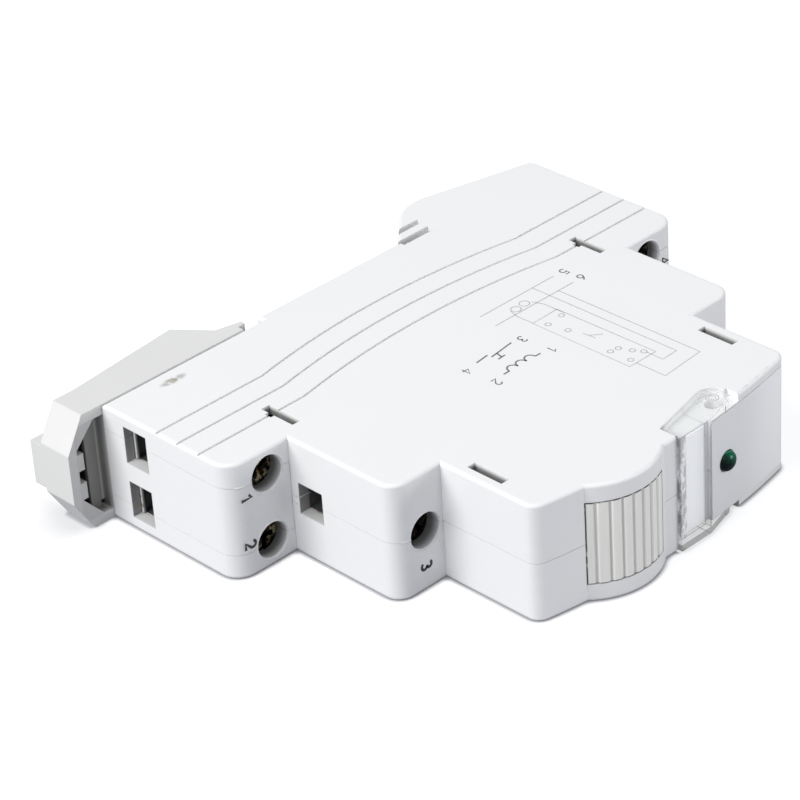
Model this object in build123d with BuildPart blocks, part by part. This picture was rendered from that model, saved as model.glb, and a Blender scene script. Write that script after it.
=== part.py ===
"""Smart energy monitor: a one-module meter for a 35 mm top-hat rail, lying on its side.

Frame: millimetres, +Z up. X runs along the rail clip's travel, -Y is the front that faces the user
on a wall, +Y is the rail side. The origin lies on the side face that the meter rests on, half-way
along its length and half-way between the rail seat and the front.
"""
import os
from collections import namedtuple
from math import sqrt

from build123d import *

# Housing, side view
THICK = 18.0
LENGTH = 88.0
SHOULDER_LENGTH = 66.7
NOSE_LENGTH = 49.5
RAIL_Y = 32.6
TERMINAL_DEPTH = 25.2
SHOULDER_DEPTH = 44.9
NOSE_DEPTH = 61.45
CROWN_RISE = 2.65
WALL = 1.5
END_R = 3.0
SHOULDER_R = 2.5
NOSE_R = 2.0
RIM_R = 0.5
SEAM = 0.05
OVERRUN = 2.0
BEVEL_ANGLE = 45.0

# Rail seat and fixed hook
RAIL_X = -0.6
RAIL_WIDTH = 35.0
FLANGE = 1.4
SEAT_BOSS_RISE = 1.1
SEAT_BOSS_INSET = 3.6
HOOK_PLAY = 2.5
TONGUE = 1.5
TONGUE_RELIEF = 1.1
HOOK_HEEL_RISE = 3.8
HOOK_CREST_RISE = 9.3
HOOK_CREST_X = 21.6
HOOK_CREST_R = 7.5
HOOK_HEEL_R = 1.2

# Grooves on the side faces
GROOVE_WIDTH = 0.36
GROOVE_DEPTH = 0.25
GROOVE_PITCH = 4.15
GROOVE_COUNT = 3
GROOVE_INSET = 11.1
GROOVE_RISE = 2.5

# Snap windows in the upper side face
WINDOW_WIDTH = 1.4
WINDOW_LENGTH = 6.1
WINDOW_NOTCH_REACH = 0.6
WINDOW_NOTCH_LENGTH = 1.2
WINDOW_NOTCH_RISE = 0.55
NOSE_WINDOW_INSET = 2.2
SHOULDER_WINDOW_INSET = 3.25
SHOULDER_WINDOW_SET_BACK = 4.7
NOSE_WINDOW_SET_BACK = 9.95
SNAP_THICK = 0.8
SNAP_LENGTH = 3.0
SNAP_DROP = 1.1

# Terminals
SCREW_OFFSET = 5.25
WIRE_OFFSET = 4.35
WIRE_HEIGHT = 5.7
WIRE_WIDTH = 4.5
INNER_WIRE_HEIGHT = 4.8
END_WIRE_INSET = 6.4
SHOULDER_WIRE_INSET = 3.65
SCREW_INSET = 6.65
SHOULDER_SCREW_INSET = 5.35
WELL_R = 2.62
WELL_RIM = 0.18
HEAD_R = 2.47
HEAD_HEIGHT = 2.0
HEAD_DROP = 1.85
SHOULDER_HEAD_DROP = 2.05
SLOT_WIDTH = 0.7
SLOT_DEPTH = 0.9
SHAFT_R = 1.75
RUN_GAP = 0.05
CAGE_WALL = 0.8
CAGE_NUT = 1.8
CAGE_HALF = 3.0
CAGE_SET_BACK = 1.85
CAGE_GAP = 0.15
CAGE_TRAVEL = 3.0
BAR_THICK = 1.0
BAR_WIDTH = 4.2
BAR_TO_NUT = 1.3
BAR_TAB = 1.5

# Rail clip
CLIP_STROKE = 3.5
CLIP_GAP = 0.1
CLIP_WALL = 1.5
CLIP_END_REACH = 3.5
CLIP_BEAK = 3.0
CLIP_BEAK_LOW = 4.9
CLIP_BEAK_HIGH = 12.7
CLIP_END_DEPTH = 5.9
CLIP_TAB_DEPTH = 8.3
CLIP_BACK_DEPTH = 8.1
CLIP_NOSE_RUN = 6.7
CLIP_SHOULDER_RUN = 2.8
CLIP_SHOULDER_DEPTH = 3.0
CLIP_HOLLOW_SET_IN = 1.8
CLIP_HOLLOW_RISE = 0.3
CLIP_PANEL_DEPTH = 1.6
CLIP_SLOT = 2.5
CLIP_TOOTH = 1.0
CLIP_POCKET = 0.9
CLIP_CLAW = 0.8
CLIP_GRIP = 1.2
GUIDE_STEM = 4.0
GUIDE_HEAD = 8.0
GUIDE_LIP = 2.0
GUIDE_HEAD_THICK = 1.5
GUIDE_LENGTH = 5.0
SPRING_STRIP = 0.3
SPRING_WIDTH = 5.0
SPRING_FOLDS = 5
SPRING_SOLID = 2.75

# Ribbed button in the front bulge
BULGE_X = -9.15
BULGE_R = 10.5
BULGE_PROUD = 2.1
BUTTON_LEFT = 7.6
BUTTON_RIGHT = 4.5
BUTTON_HEIGHT = 12.4
BUTTON_GAP = 0.15
BUTTON_FLANGE = 1.0
BUTTON_FLANGE_HEIGHT = 14.2
BUTTON_TRAVEL = 0.8
FLUTE_COUNT = 7
FLUTE_FIRST = -6.85
FLUTE_PITCH = 1.66
FLUTE_R = 0.45
FLUTE_LIFT = 0.27
PUSHER = 3.0

# Label flap
FLAP_LEFT = 0.3
FLAP_RIGHT = 5.6
FLAP_PROUD = 0.6
FLAP_THICK = 1.0
FLAP_LIP = 0.25
FLAP_ARM = 0.95
FLAP_SET_IN = 0.1
FLAP_GAP = 0.15
FLAP_GROOVE = 1.0
PIVOT_X = 9.86
PIVOT_SET_BACK = 2.8
PIVOT_ARM_R = 2.2
PIVOT_PIN_R = 1.0
PIVOT_PIN_LENGTH = 1.3
RECESS_RIGHT = 2.9
PAD_THICK = 1.3
LABEL_THICK = 0.2
LABEL_MARGIN = 1.5
FLAP_SEAT_SET_BACK = 0.8

# Front foil and status light
FOIL_THICK = 0.2
FOIL_SINK = 0.15
FOIL_RIGHT = 23.4
FOIL_MARGIN = 1.3
FOIL_BOND = 0.02
LED_X = 9.95
LED_R = 1.5
LED_GAP = 0.1
LED_SET_BACK = 0.3
LED_DOME = 1.0
LED_LENGTH = 4.6
LED_RIM = 0.3
LEAD_SIZE = 0.5
LEAD_PITCH = 2.0

# Circuit board and what stands on it
BOARD_Z = 4.0
BOARD_THICK = 1.6
BOARD_END_GAP = 3.25
BOARD_NOSE_GAP = 2.35
BOARD_FRONT_GAP = 12.0
BOARD_REAR_GAP = 2.2
BOARD_STEP_GAP = 2.0
POST_R = 1.8
PEG_R = 1.1
PEG_RISE = 0.6
POST_INSET = 3.0
SOLDER_GAP = 0.05
COMPONENT_GAP = 0.6
SWITCH_SIZE = (6.0, 3.6, 6.5)
PLUNGER_R = 1.7
WIFI_SIZE = (16.0, 20.0, 0.8)
WIFI_X = 8.4
WIFI_FROM_FRONT = 17.5
SHIELD_SIZE = (12.4, 12.0, 2.2)
SHIELD_SHIFT = 3.0
FUSE_R = 1.6
FUSE_LENGTH = 9.0
FUSE_X = 17.0
FUSE_FROM_REAR = 17.9
VARISTOR_R = 4.4
VARISTOR_THICK = 3.4
VARISTOR_X = 20.5
VARISTOR_FROM_REAR = 12.2
BRIDGE_SIZE = (5.0, 6.6, 2.5)
BRIDGE_FROM_REAR = 4.4
BULK_R = 4.0
BULK_HEIGHT = 9.6
BULK_FROM_REAR = 13.8
OUTPUT_R = 3.15
OUTPUT_HEIGHT = 8.0
OUTPUT_FROM_REAR = 5.8
CORE_SIZE = (12.6, 12.8, 3.0)
WINDING_SIZE = (9.0, 13.6, 3.4)
CORE_X = -6.6
CORE_FROM_REAR = 8.2
METER_CHIP_SIZE = (10.3, 7.5, 2.3)
METER_CHIP_X = -10.0
METER_CHIP_FROM_REAR = 26.4
CRYSTAL_SIZE = (4.6, 10.8, 3.2)
CRYSTAL_X = -3.4
CRYSTAL_FROM_FRONT = 14.5
BURDEN_SIZE = (6.3, 3.1, 0.7)
BURDEN_X = -22.0
BURDEN_FROM_REAR = 17.4
BURDEN_PITCH = 4.6

MID = THICK / 2
HALF = LENGTH / 2
SHOULDER_HALF = SHOULDER_LENGTH / 2
NOSE_HALF = NOSE_LENGTH / 2
TERMINAL_Y = RAIL_Y - TERMINAL_DEPTH
SHOULDER_Y = RAIL_Y - SHOULDER_DEPTH
NOSE_Y = RAIL_Y - NOSE_DEPTH
CROWN_Y = NOSE_Y - CROWN_RISE
CROWN_R = (NOSE_HALF**2 + CROWN_RISE**2) / (2 * CROWN_RISE)
BULGE_Y = CROWN_Y - BULGE_PROUD + BULGE_R
FLAP_FRONT_Y = CROWN_Y - FLAP_PROUD
FLAP_SEAT_Y = CROWN_Y + FLAP_SEAT_SET_BACK
PIVOT_Y = CROWN_Y + PIVOT_SET_BACK
LED_Y = CROWN_Y + LED_SET_BACK
BOARD_FRONT = CROWN_Y + BOARD_FRONT_GAP
BOARD_REAR = RAIL_Y - BOARD_REAR_GAP
BOARD_STEP = TERMINAL_Y + BOARD_STEP_GAP
BOARD_HALF_WIDE = SHOULDER_HALF - WALL - BOARD_END_GAP
BOARD_HALF_NARROW = NOSE_HALF - WALL - BOARD_NOSE_GAP
BOARD_TOP = BOARD_Z + BOARD_THICK
CORE_PLACE = (CORE_X, BOARD_REAR - CORE_FROM_REAR)
OUTPUT_PLACE = (CORE_X - CORE_SIZE[0] / 2 - COMPONENT_GAP - OUTPUT_R, BOARD_REAR - OUTPUT_FROM_REAR)
BULK_PLACE = (CORE_X + CORE_SIZE[0] / 2 + COMPONENT_GAP + BULK_R, BOARD_REAR - BULK_FROM_REAR)
BRIDGE_PLACE = (BULK_PLACE[0] + BULK_R + COMPONENT_GAP + BRIDGE_SIZE[0] / 2, BOARD_REAR - BRIDGE_FROM_REAR)
FUSE_PLACE = (FUSE_X, BOARD_REAR - FUSE_FROM_REAR)
VARISTOR_PLACE = (VARISTOR_X, BOARD_REAR - VARISTOR_FROM_REAR)
METER_CHIP_PLACE = (METER_CHIP_X, BOARD_REAR - METER_CHIP_FROM_REAR)
BURDEN_PLACE = (BURDEN_X, BOARD_REAR - BURDEN_FROM_REAR)
CRYSTAL_PLACE = (CRYSTAL_X, BOARD_FRONT + CRYSTAL_FROM_FRONT)
WIFI_CENTRE = (WIFI_X, BOARD_FRONT + WIFI_FROM_FRONT)
MID_PLANE = Plane.XY.offset(MID)
FLANGE_NEAR = RAIL_X - RAIL_WIDTH / 2
FLANGE_FAR = RAIL_X + RAIL_WIDTH / 2
BOSS_NEAR = FLANGE_NEAR + SEAT_BOSS_INSET
BOSS_FAR = FLANGE_FAR - SEAT_BOSS_INSET
SLOT_END = FLANGE_FAR + HOOK_PLAY
BOSS_Y = RAIL_Y + SEAT_BOSS_RISE
TUNNEL_END_X = FLANGE_NEAR - CLIP_SHOULDER_RUN - 3 * CLIP_WALL / 2
GUIDE_END_X = TUNNEL_END_X - CLIP_STROKE - SPRING_SOLID
SPLIT_LOW = MID - SCREW_OFFSET
SPLIT_HIGH = MID + SCREW_OFFSET

# One record per screw terminal: the face that its screw well opens in, and the end that its wire enters
Terminal = namedtuple("Terminal", "name side face_y wire_y end_x screw_x screw_z wire_z opening drop")


def end_terminal(name, side, level):
    """A terminal of the outer steps, above (level 1) or below (level -1) the middle."""
    return Terminal(name, side, TERMINAL_Y, RAIL_Y - END_WIRE_INSET, side * HALF,
                    side * (HALF - SCREW_INSET), MID + level * SCREW_OFFSET,
                    MID + level * WIRE_OFFSET, WIRE_HEIGHT, HEAD_DROP)


def shoulder_terminal(name, side):
    """A terminal of the inner steps, on the middle plane."""
    return Terminal(name, side, SHOULDER_Y, TERMINAL_Y - SHOULDER_WIRE_INSET, side * SHOULDER_HALF,
                    side * (SHOULDER_HALF - SHOULDER_SCREW_INSET), MID, MID,
                    INNER_WIRE_HEIGHT, SHOULDER_HEAD_DROP)


TERMINALS = [
    end_terminal("load_1", -1, 1),
    end_terminal("load_2", -1, -1),
    end_terminal("supply_1", 1, 1),
    end_terminal("supply_2", 1, -1),
    shoulder_terminal("switch_near", -1),
    shoulder_terminal("switch_far", 1),
]


def head_base_y(terminal):
    return terminal.face_y + terminal.drop + HEAD_HEIGHT


def bar_front_y(terminal):
    return terminal.wire_y - WIRE_WIDTH / 2 - BAR_THICK


def cage_front_y(terminal):
    return bar_front_y(terminal) - BAR_TO_NUT - CAGE_NUT


def cage_rear_y(terminal):
    return terminal.wire_y + WIRE_WIDTH / 2 + CAGE_GAP + CAGE_WALL


def cage_height(terminal):
    return terminal.opening + 2 * CAGE_WALL


def cage_x(terminal, grow):
    """The cage's two ends along X, the outer one near the wire hole, both moved out by grow."""
    outer = terminal.end_x - terminal.side * (CAGE_SET_BACK - grow)
    return sorted((outer, terminal.screw_x - terminal.side * (CAGE_HALF + grow)))


def block(x_range, y_range, z_range):
    """A plain block between two corners, as a private solid."""
    with BuildPart() as solid:
        with BuildSketch(Plane.XY.offset(z_range[0])):
            with BuildLine():
                Polyline((x_range[0], y_range[0]), (x_range[1], y_range[0]),
                         (x_range[1], y_range[1]), (x_range[0], y_range[1]), close=True)
            make_face()
        extrude(amount=z_range[1] - z_range[0])
    return solid.part


def rod(x, z, radius, y_start, y_end):
    """A round rod along Y, as a private solid."""
    with BuildPart() as solid:
        with BuildSketch(Plane((x, y_start, z), x_dir=(1, 0, 0), z_dir=(0, 1, 0))):
            Circle(radius)
        extrude(amount=y_end - y_start)
    return solid.part


def peg(x, y, radius, z_start, z_end):
    """A round peg along Z, as a private solid."""
    with BuildPart() as solid:
        with BuildSketch(Plane.XY.offset(z_start)):
            with Locations((x, y)):
                Circle(radius)
        extrude(amount=z_end - z_start)
    return solid.part


def terminal_void(terminal):
    """All the space that one terminal needs in the housing: well, bore, chamber, wire hole, bar slot."""
    side = terminal.side
    half_height = cage_height(terminal) / 2 + CAGE_GAP
    low = terminal.wire_z - half_height
    high = terminal.wire_z + half_height
    chamber_front = cage_front_y(terminal) - CAGE_TRAVEL - CAGE_GAP
    chamber_rear = cage_rear_y(terminal) + CAGE_GAP
    wire_half = WIRE_WIDTH / 2
    inner = terminal.screw_x - side * (CAGE_HALF + CAGE_GAP)
    mouth = Plane((terminal.screw_x, terminal.face_y - WELL_RIM, terminal.screw_z), x_dir=(1, 0, 0),
                  z_dir=(0, 1, 0))
    outer = terminal.end_x + side * OVERRUN
    with BuildPart() as void:
        add(rod(terminal.screw_x, terminal.screw_z, WELL_R, terminal.face_y - OVERRUN,
                head_base_y(terminal) + RUN_GAP))
        # Bevel round the well's mouth
        with BuildSketch(mouth):
            Circle(WELL_R + 2 * WELL_RIM)
        extrude(amount=2 * WELL_RIM, taper=BEVEL_ANGLE)
        add(rod(terminal.screw_x, terminal.screw_z, SHAFT_R + RUN_GAP, terminal.face_y, chamber_rear))
        add(block(cage_x(terminal, CAGE_GAP), (chamber_front, chamber_rear), (low, high)))
        add(block(sorted((terminal.screw_x, outer)),
                  (terminal.wire_y - wire_half, terminal.wire_y + wire_half),
                  (terminal.wire_z - terminal.opening / 2, terminal.wire_z + terminal.opening / 2)))
        add(block(sorted((terminal.screw_x, inner - side * OVERRUN)),
                  (bar_front_y(terminal) - RUN_GAP, bar_front_y(terminal) + BAR_THICK + RUN_GAP),
                  (terminal.wire_z - BAR_WIDTH / 2 - RUN_GAP, terminal.wire_z + BAR_WIDTH / 2 + RUN_GAP)))
    return void.part


def housing_face():
    """The housing's outline in the side view, with its front crown and bulge and its hook."""
    with BuildSketch() as outline:
        with BuildLine():
            Polyline((NOSE_HALF, NOSE_Y), (NOSE_HALF, SHOULDER_Y), (SHOULDER_HALF, SHOULDER_Y),
                     (SHOULDER_HALF, TERMINAL_Y), (HALF, TERMINAL_Y), (HALF, RAIL_Y + HOOK_HEEL_RISE))
            Polyline((HALF, RAIL_Y + HOOK_HEEL_RISE), (HOOK_CREST_X, RAIL_Y + HOOK_CREST_RISE),
                     (BOSS_FAR, RAIL_Y + FLANGE), (BOSS_FAR, BOSS_Y), (BOSS_NEAR, BOSS_Y),
                     (BOSS_NEAR, RAIL_Y), (-HALF, RAIL_Y), (-HALF, TERMINAL_Y),
                     (-SHOULDER_HALF, TERMINAL_Y), (-SHOULDER_HALF, SHOULDER_Y),
                     (-NOSE_HALF, SHOULDER_Y), (-NOSE_HALF, NOSE_Y))
            ThreePointArc((-NOSE_HALF, NOSE_Y), (0, CROWN_Y), (NOSE_HALF, NOSE_Y))
        make_face()
        corners = outline.vertices()
        fillet([corners.sort_by_distance((side * HALF, TERMINAL_Y))[0] for side in (-1, 1)], END_R)
        corners = outline.vertices()
        fillet([corners.sort_by_distance((side * SHOULDER_HALF, SHOULDER_Y))[0] for side in (-1, 1)],
               SHOULDER_R)
        corners = outline.vertices()
        fillet([corners.sort_by_distance((side * NOSE_HALF, NOSE_Y))[0] for side in (-1, 1)], NOSE_R)
        corners = outline.vertices()
        fillet(corners.sort_by_distance((HOOK_CREST_X, RAIL_Y + HOOK_CREST_RISE))[0], HOOK_CREST_R)
        corners = outline.vertices()
        fillet(corners.sort_by_distance((HALF, RAIL_Y + HOOK_HEEL_RISE))[0], HOOK_HEEL_R)
        with Locations((BULGE_X, BULGE_Y)):
            Circle(BULGE_R)
    return outline.sketch


def cavity_face():
    """The hollow between the side walls: wide behind the terminals, narrow in the nose."""
    nose = NOSE_HALF - WALL
    front = NOSE_Y + WALL
    with BuildSketch() as hollow:
        with BuildLine():
            Polyline((nose, front), (nose, TERMINAL_Y + WALL), (SHOULDER_HALF, TERMINAL_Y + WALL),
                     (SHOULDER_HALF, RAIL_Y - WALL), (-SHOULDER_HALF, RAIL_Y - WALL),
                     (-SHOULDER_HALF, TERMINAL_Y + WALL), (-nose, TERMINAL_Y + WALL), (-nose, front))
            ThreePointArc((-nose, front), (0, CROWN_Y + WALL), (nose, front))
        make_face()
        with Locations((BULGE_X, BULGE_Y)):
            Circle(BULGE_R - WALL)
    return hollow.sketch


def groove_face(level):
    """One decorative groove: straight at both ends, arched towards the rail between them."""
    low = level - GROOVE_WIDTH / 2
    high = level + GROOVE_WIDTH / 2
    reach = HALF + OVERRUN
    with BuildSketch() as groove:
        with BuildLine():
            Line((-reach, low), (-NOSE_HALF, low))
            ThreePointArc((-NOSE_HALF, low), (0, low + GROOVE_RISE), (NOSE_HALF, low))
            Polyline((NOSE_HALF, low), (reach, low), (reach, high), (NOSE_HALF, high))
            ThreePointArc((NOSE_HALF, high), (0, high + GROOVE_RISE), (-NOSE_HALF, high))
            Polyline((-NOSE_HALF, high), (-reach, high), (-reach, low))
        make_face()
    return groove.sketch


def arm_face(grow):
    """The flap's arm in the side view, or its recess when grown by the gap."""
    left = -FLAP_LEFT - grow
    with BuildSketch() as arm:
        with BuildLine():
            Polyline((left, PIVOT_Y - RUN_GAP + grow), (left, FLAP_FRONT_Y - grow),
                     (FLAP_RIGHT + grow, FLAP_FRONT_Y - grow),
                     (PIVOT_X, PIVOT_Y - PIVOT_ARM_R - grow),
                     (PIVOT_X - PIVOT_PIN_R / 2, PIVOT_Y + PIVOT_ARM_R + grow - RUN_GAP), close=True)
        make_face()
        with Locations((PIVOT_X, PIVOT_Y)):
            Circle(PIVOT_ARM_R + grow)
    return arm.sketch


def foil_face(depth, proud):
    """The band from depth behind the crown to proud in front of it, along the stretch of the foil."""
    left = FLAP_RIGHT + FLAP_GROOVE + RUN_GAP
    with BuildSketch() as band:
        with Locations((0, CROWN_Y + CROWN_R)):
            Circle(CROWN_R + proud)
            Circle(CROWN_R - depth, mode=Mode.SUBTRACT)
        with BuildLine():
            Polyline((left, NOSE_Y + OVERRUN), (FOIL_RIGHT, NOSE_Y + OVERRUN),
                     (FOIL_RIGHT, CROWN_Y - 2 * OVERRUN), (left, CROWN_Y - 2 * OVERRUN), close=True)
        make_face(mode=Mode.INTERSECT)
    return band.sketch


HOUSING = housing_face()
CAVITY = cavity_face()
VOIDS = [terminal_void(terminal) for terminal in TERMINALS]


def half_shell():
    """The upper half of the housing, which the lower half mirrors."""
    top_wall = THICK - WALL
    with BuildPart() as half:
        with BuildSketch(Plane.XY.offset(MID + SEAM / 2)):
            add(HOUSING)
        extrude(amount=MID - SEAM / 2)
        fillet(half.faces().sort_by(Axis.Z)[-1].edges(), RIM_R)
        with BuildSketch(Plane.XY.offset(MID)):
            add(CAVITY)
        extrude(amount=MID - WALL, mode=Mode.SUBTRACT)
        # Pad that carries the flap's pivot behind the thin recess
        with BuildSketch(Plane.XY.offset(top_wall - PAD_THICK)):
            with Locations((PIVOT_X, PIVOT_Y)):
                Circle(PIVOT_ARM_R + WALL)
            with BuildLine():
                Polyline((-FLAP_LEFT - WALL, CROWN_Y + WALL), (PIVOT_X, CROWN_Y + WALL),
                         (PIVOT_X, PIVOT_Y + PIVOT_ARM_R + WALL),
                         (-FLAP_LEFT - WALL, PIVOT_Y + WALL), close=True)
            make_face()
            add(HOUSING, mode=Mode.INTERSECT)
        extrude(amount=PAD_THICK)
        # Room for the terminal carriers at both ends
        for side in (-1, 1):
            add(block(sorted((side * SHOULDER_HALF, side * (HALF + OVERRUN))),
                      (TERMINAL_Y - OVERRUN, RAIL_Y + SEAM), (MID, SPLIT_HIGH + SEAM / 2)),
                mode=Mode.SUBTRACT)
        add(VOIDS, mode=Mode.SUBTRACT)
        # Flange slot and the relief that lets the hook's tongue bend
        add(block((BOSS_FAR, SLOT_END), (RAIL_Y, RAIL_Y + FLANGE), (0, THICK + OVERRUN)),
            mode=Mode.SUBTRACT)
        relief_y = RAIL_Y + FLANGE + TONGUE
        add(block((BOSS_FAR, SLOT_END + RIM_R), (relief_y, relief_y + TONGUE_RELIEF),
                  (0, THICK + OVERRUN)), mode=Mode.SUBTRACT)
        # Half of the T-shaped guide that the rail clip slides on
        guide_x = (GUIDE_END_X - GUIDE_LENGTH, GUIDE_END_X)
        lip_y = RAIL_Y + CLIP_GAP + GUIDE_LIP + CLIP_GAP
        add(block(guide_x, (RAIL_Y, lip_y + RIM_R), (MID + SEAM / 2, MID + GUIDE_STEM / 2)))
        add(block(guide_x, (lip_y, lip_y + GUIDE_HEAD_THICK), (MID + SEAM / 2, MID + GUIDE_HEAD / 2)))
        # Button window in the bulge
        add(block((BULGE_X - BUTTON_LEFT - BUTTON_GAP, BULGE_X + BUTTON_RIGHT + BUTTON_GAP),
                  (BULGE_Y - BULGE_R - OVERRUN, BULGE_Y - BUTTON_LEFT / 2),
                  (0, MID + BUTTON_HEIGHT / 2 + BUTTON_GAP)), mode=Mode.SUBTRACT)
        # Seat of the label flap, its side recess and its pivot hole
        add(block((-FLAP_LEFT - FLAP_GAP, FLAP_RIGHT + FLAP_GROOVE),
                  (FLAP_FRONT_Y - OVERRUN, FLAP_SEAT_Y), (0, THICK + OVERRUN)), mode=Mode.SUBTRACT)
        recess_z = THICK - FLAP_SET_IN - FLAP_ARM - FLAP_GAP
        with BuildSketch(Plane.XY.offset(recess_z)):
            add(arm_face(FLAP_GAP))
            with BuildLine():
                Polyline((PIVOT_X, PIVOT_Y), (PIVOT_X + RECESS_RIGHT, PIVOT_Y),
                         (PIVOT_X + RECESS_RIGHT, FLAP_FRONT_Y), (PIVOT_X, FLAP_FRONT_Y), close=True)
            make_face()
        extrude(amount=THICK - recess_z, mode=Mode.SUBTRACT)
        add(peg(PIVOT_X, PIVOT_Y, PIVOT_PIN_R + RUN_GAP,
                recess_z - PIVOT_PIN_LENGTH - RUN_GAP, THICK), mode=Mode.SUBTRACT)
        # Bed of the front foil, and the hole for the status light
        with BuildSketch(Plane.XY.offset(MID)):
            add(foil_face(FOIL_SINK, OVERRUN))
        extrude(amount=MID - FOIL_MARGIN, mode=Mode.SUBTRACT)
        add(rod(LED_X, MID, LED_R + LED_GAP, CROWN_Y - OVERRUN, CROWN_Y + 2 * WALL), mode=Mode.SUBTRACT)
        # Grooves
        for index in range(GROOVE_COUNT):
            with BuildSketch(Plane.XY.offset(THICK - GROOVE_DEPTH)):
                add(groove_face(RAIL_Y - GROOVE_INSET - index * GROOVE_PITCH))
            extrude(amount=GROOVE_DEPTH + RIM_R, mode=Mode.SUBTRACT)
    return half.part


def snap_window(x, y, notch):
    """A window in the side face, with a notch on its -X side where notch is true."""
    depth = (THICK - WALL - OVERRUN, THICK + OVERRUN)
    with BuildPart() as window:
        add(block((x - WINDOW_WIDTH / 2, x + WINDOW_WIDTH / 2),
                  (y - WINDOW_LENGTH / 2, y + WINDOW_LENGTH / 2), depth))
        if notch:
            notch_y = y + WINDOW_NOTCH_RISE
            add(block((x - WINDOW_WIDTH / 2 - WINDOW_NOTCH_REACH, x),
                      (notch_y, notch_y + WINDOW_NOTCH_LENGTH), depth))
    return window.part


WINDOWS = [
    (side * (SHOULDER_HALF - SHOULDER_WINDOW_INSET), TERMINAL_Y + SHOULDER_WINDOW_SET_BACK, True)
    for side in (-1, 1)
] + [(side * (NOSE_HALF - NOSE_WINDOW_INSET), NOSE_Y + NOSE_WINDOW_SET_BACK, False) for side in (-1, 1)]

POSTS = [(side * (BOARD_HALF_WIDE - POST_INSET), BOARD_REAR - POST_INSET) for side in (-1, 1)] + [
    (side * (BOARD_HALF_NARROW - POST_INSET), BOARD_STEP - 2 * POST_INSET) for side in (-1, 1)]


COMMON_HALF = half_shell()

# Upper shell: the side that faces up, with its four snap windows
with BuildPart() as upper_shell:
    add(COMMON_HALF)
    for window_x, window_y, notched in WINDOWS:
        add(snap_window(window_x, window_y, notched), mode=Mode.SUBTRACT)

# Lower shell: the side that the meter lies on, with snaps for the windows and posts for the board
with BuildPart() as lower_shell:
    add(mirror(COMMON_HALF, about=MID_PLANE, mode=Mode.PRIVATE))
    for window_x, window_y, notched in WINDOWS:
        snap_y = window_y - WINDOW_LENGTH / 2 + CAGE_GAP
        add(block((window_x - SNAP_THICK / 2, window_x + SNAP_THICK / 2),
                  (snap_y, snap_y + SNAP_LENGTH), (WALL / 2, THICK - SNAP_DROP)))
    for post_x, post_y in POSTS:
        add(peg(post_x, post_y, POST_R, WALL / 2, BOARD_Z))
        add(peg(post_x, post_y, PEG_R, WALL / 2, BOARD_TOP + PEG_RISE))


def terminal_carrier():
    """The moulded insert between the shells at the -X end, which holds the middle of two terminals."""
    with BuildPart() as carrier:
        with BuildSketch(Plane.XY.offset(SPLIT_LOW + SEAM / 2)):
            add(HOUSING)
            with BuildLine():
                Polyline((-HALF, TERMINAL_Y), (-SHOULDER_HALF - SEAM, TERMINAL_Y),
                         (-SHOULDER_HALF - SEAM, RAIL_Y), (-HALF, RAIL_Y), close=True)
            make_face(mode=Mode.INTERSECT)
        extrude(amount=SPLIT_HIGH - SPLIT_LOW - SEAM)
        add([void for void, terminal in zip(VOIDS, TERMINALS) if terminal.side < 0],
            mode=Mode.SUBTRACT)
    return carrier.part


near_carrier = terminal_carrier()
with BuildPart() as carrier_near:
    add(near_carrier)
with BuildPart() as carrier_far:
    add(mirror(near_carrier, about=Plane.YZ, mode=Mode.PRIVATE))


def terminal_screw(terminal):
    """A cheese-head clamp screw with a cross slot, along Y, captive behind its collar."""
    top = terminal.face_y + terminal.drop
    base = head_base_y(terminal)
    tip = bar_front_y(terminal) - RUN_GAP
    x, z = terminal.screw_x, terminal.screw_z
    with BuildPart() as screw:
        add(rod(x, z, HEAD_R, top, base))
        chamfer(screw.faces().sort_by(Axis.Y)[0].edges(), SLOT_WIDTH / 3)
        add(block((x - HEAD_R, x + HEAD_R), (top, top + SLOT_DEPTH),
                  (z - SLOT_WIDTH / 2, z + SLOT_WIDTH / 2)), mode=Mode.SUBTRACT)
        add(block((x - SLOT_WIDTH / 2, x + SLOT_WIDTH / 2), (top, top + SLOT_DEPTH),
                  (z - 2 * SLOT_WIDTH, z + 2 * SLOT_WIDTH)), mode=Mode.SUBTRACT)
        add(rod(x, z, SHAFT_R, base - SLOT_DEPTH / 2, tip))
        chamfer(screw.faces().sort_by(Axis.Y)[-1].edges(), SLOT_WIDTH / 2)
    return screw.part


def terminal_cage(terminal):
    """The rising clamp: a square sleeve along X with a threaded front wall."""
    x, z = terminal.screw_x, terminal.wire_z
    front = cage_front_y(terminal)
    rear = cage_rear_y(terminal)
    half_height = cage_height(terminal) / 2
    with BuildPart() as cage:
        add(block(cage_x(terminal, 0), (front, rear), (z - half_height, z + half_height)))
        fillet(cage.edges().filter_by(Axis.X), CAGE_WALL / 2)
        add(block((x - HALF, x + HALF), (front + CAGE_NUT, rear - CAGE_WALL),
                  (z - half_height + CAGE_WALL, z + half_height - CAGE_WALL)), mode=Mode.SUBTRACT)
        add(rod(x, terminal.screw_z, SHAFT_R + RUN_GAP, front - OVERRUN, front + CAGE_NUT + OVERRUN),
            mode=Mode.SUBTRACT)
    return cage.part


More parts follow.
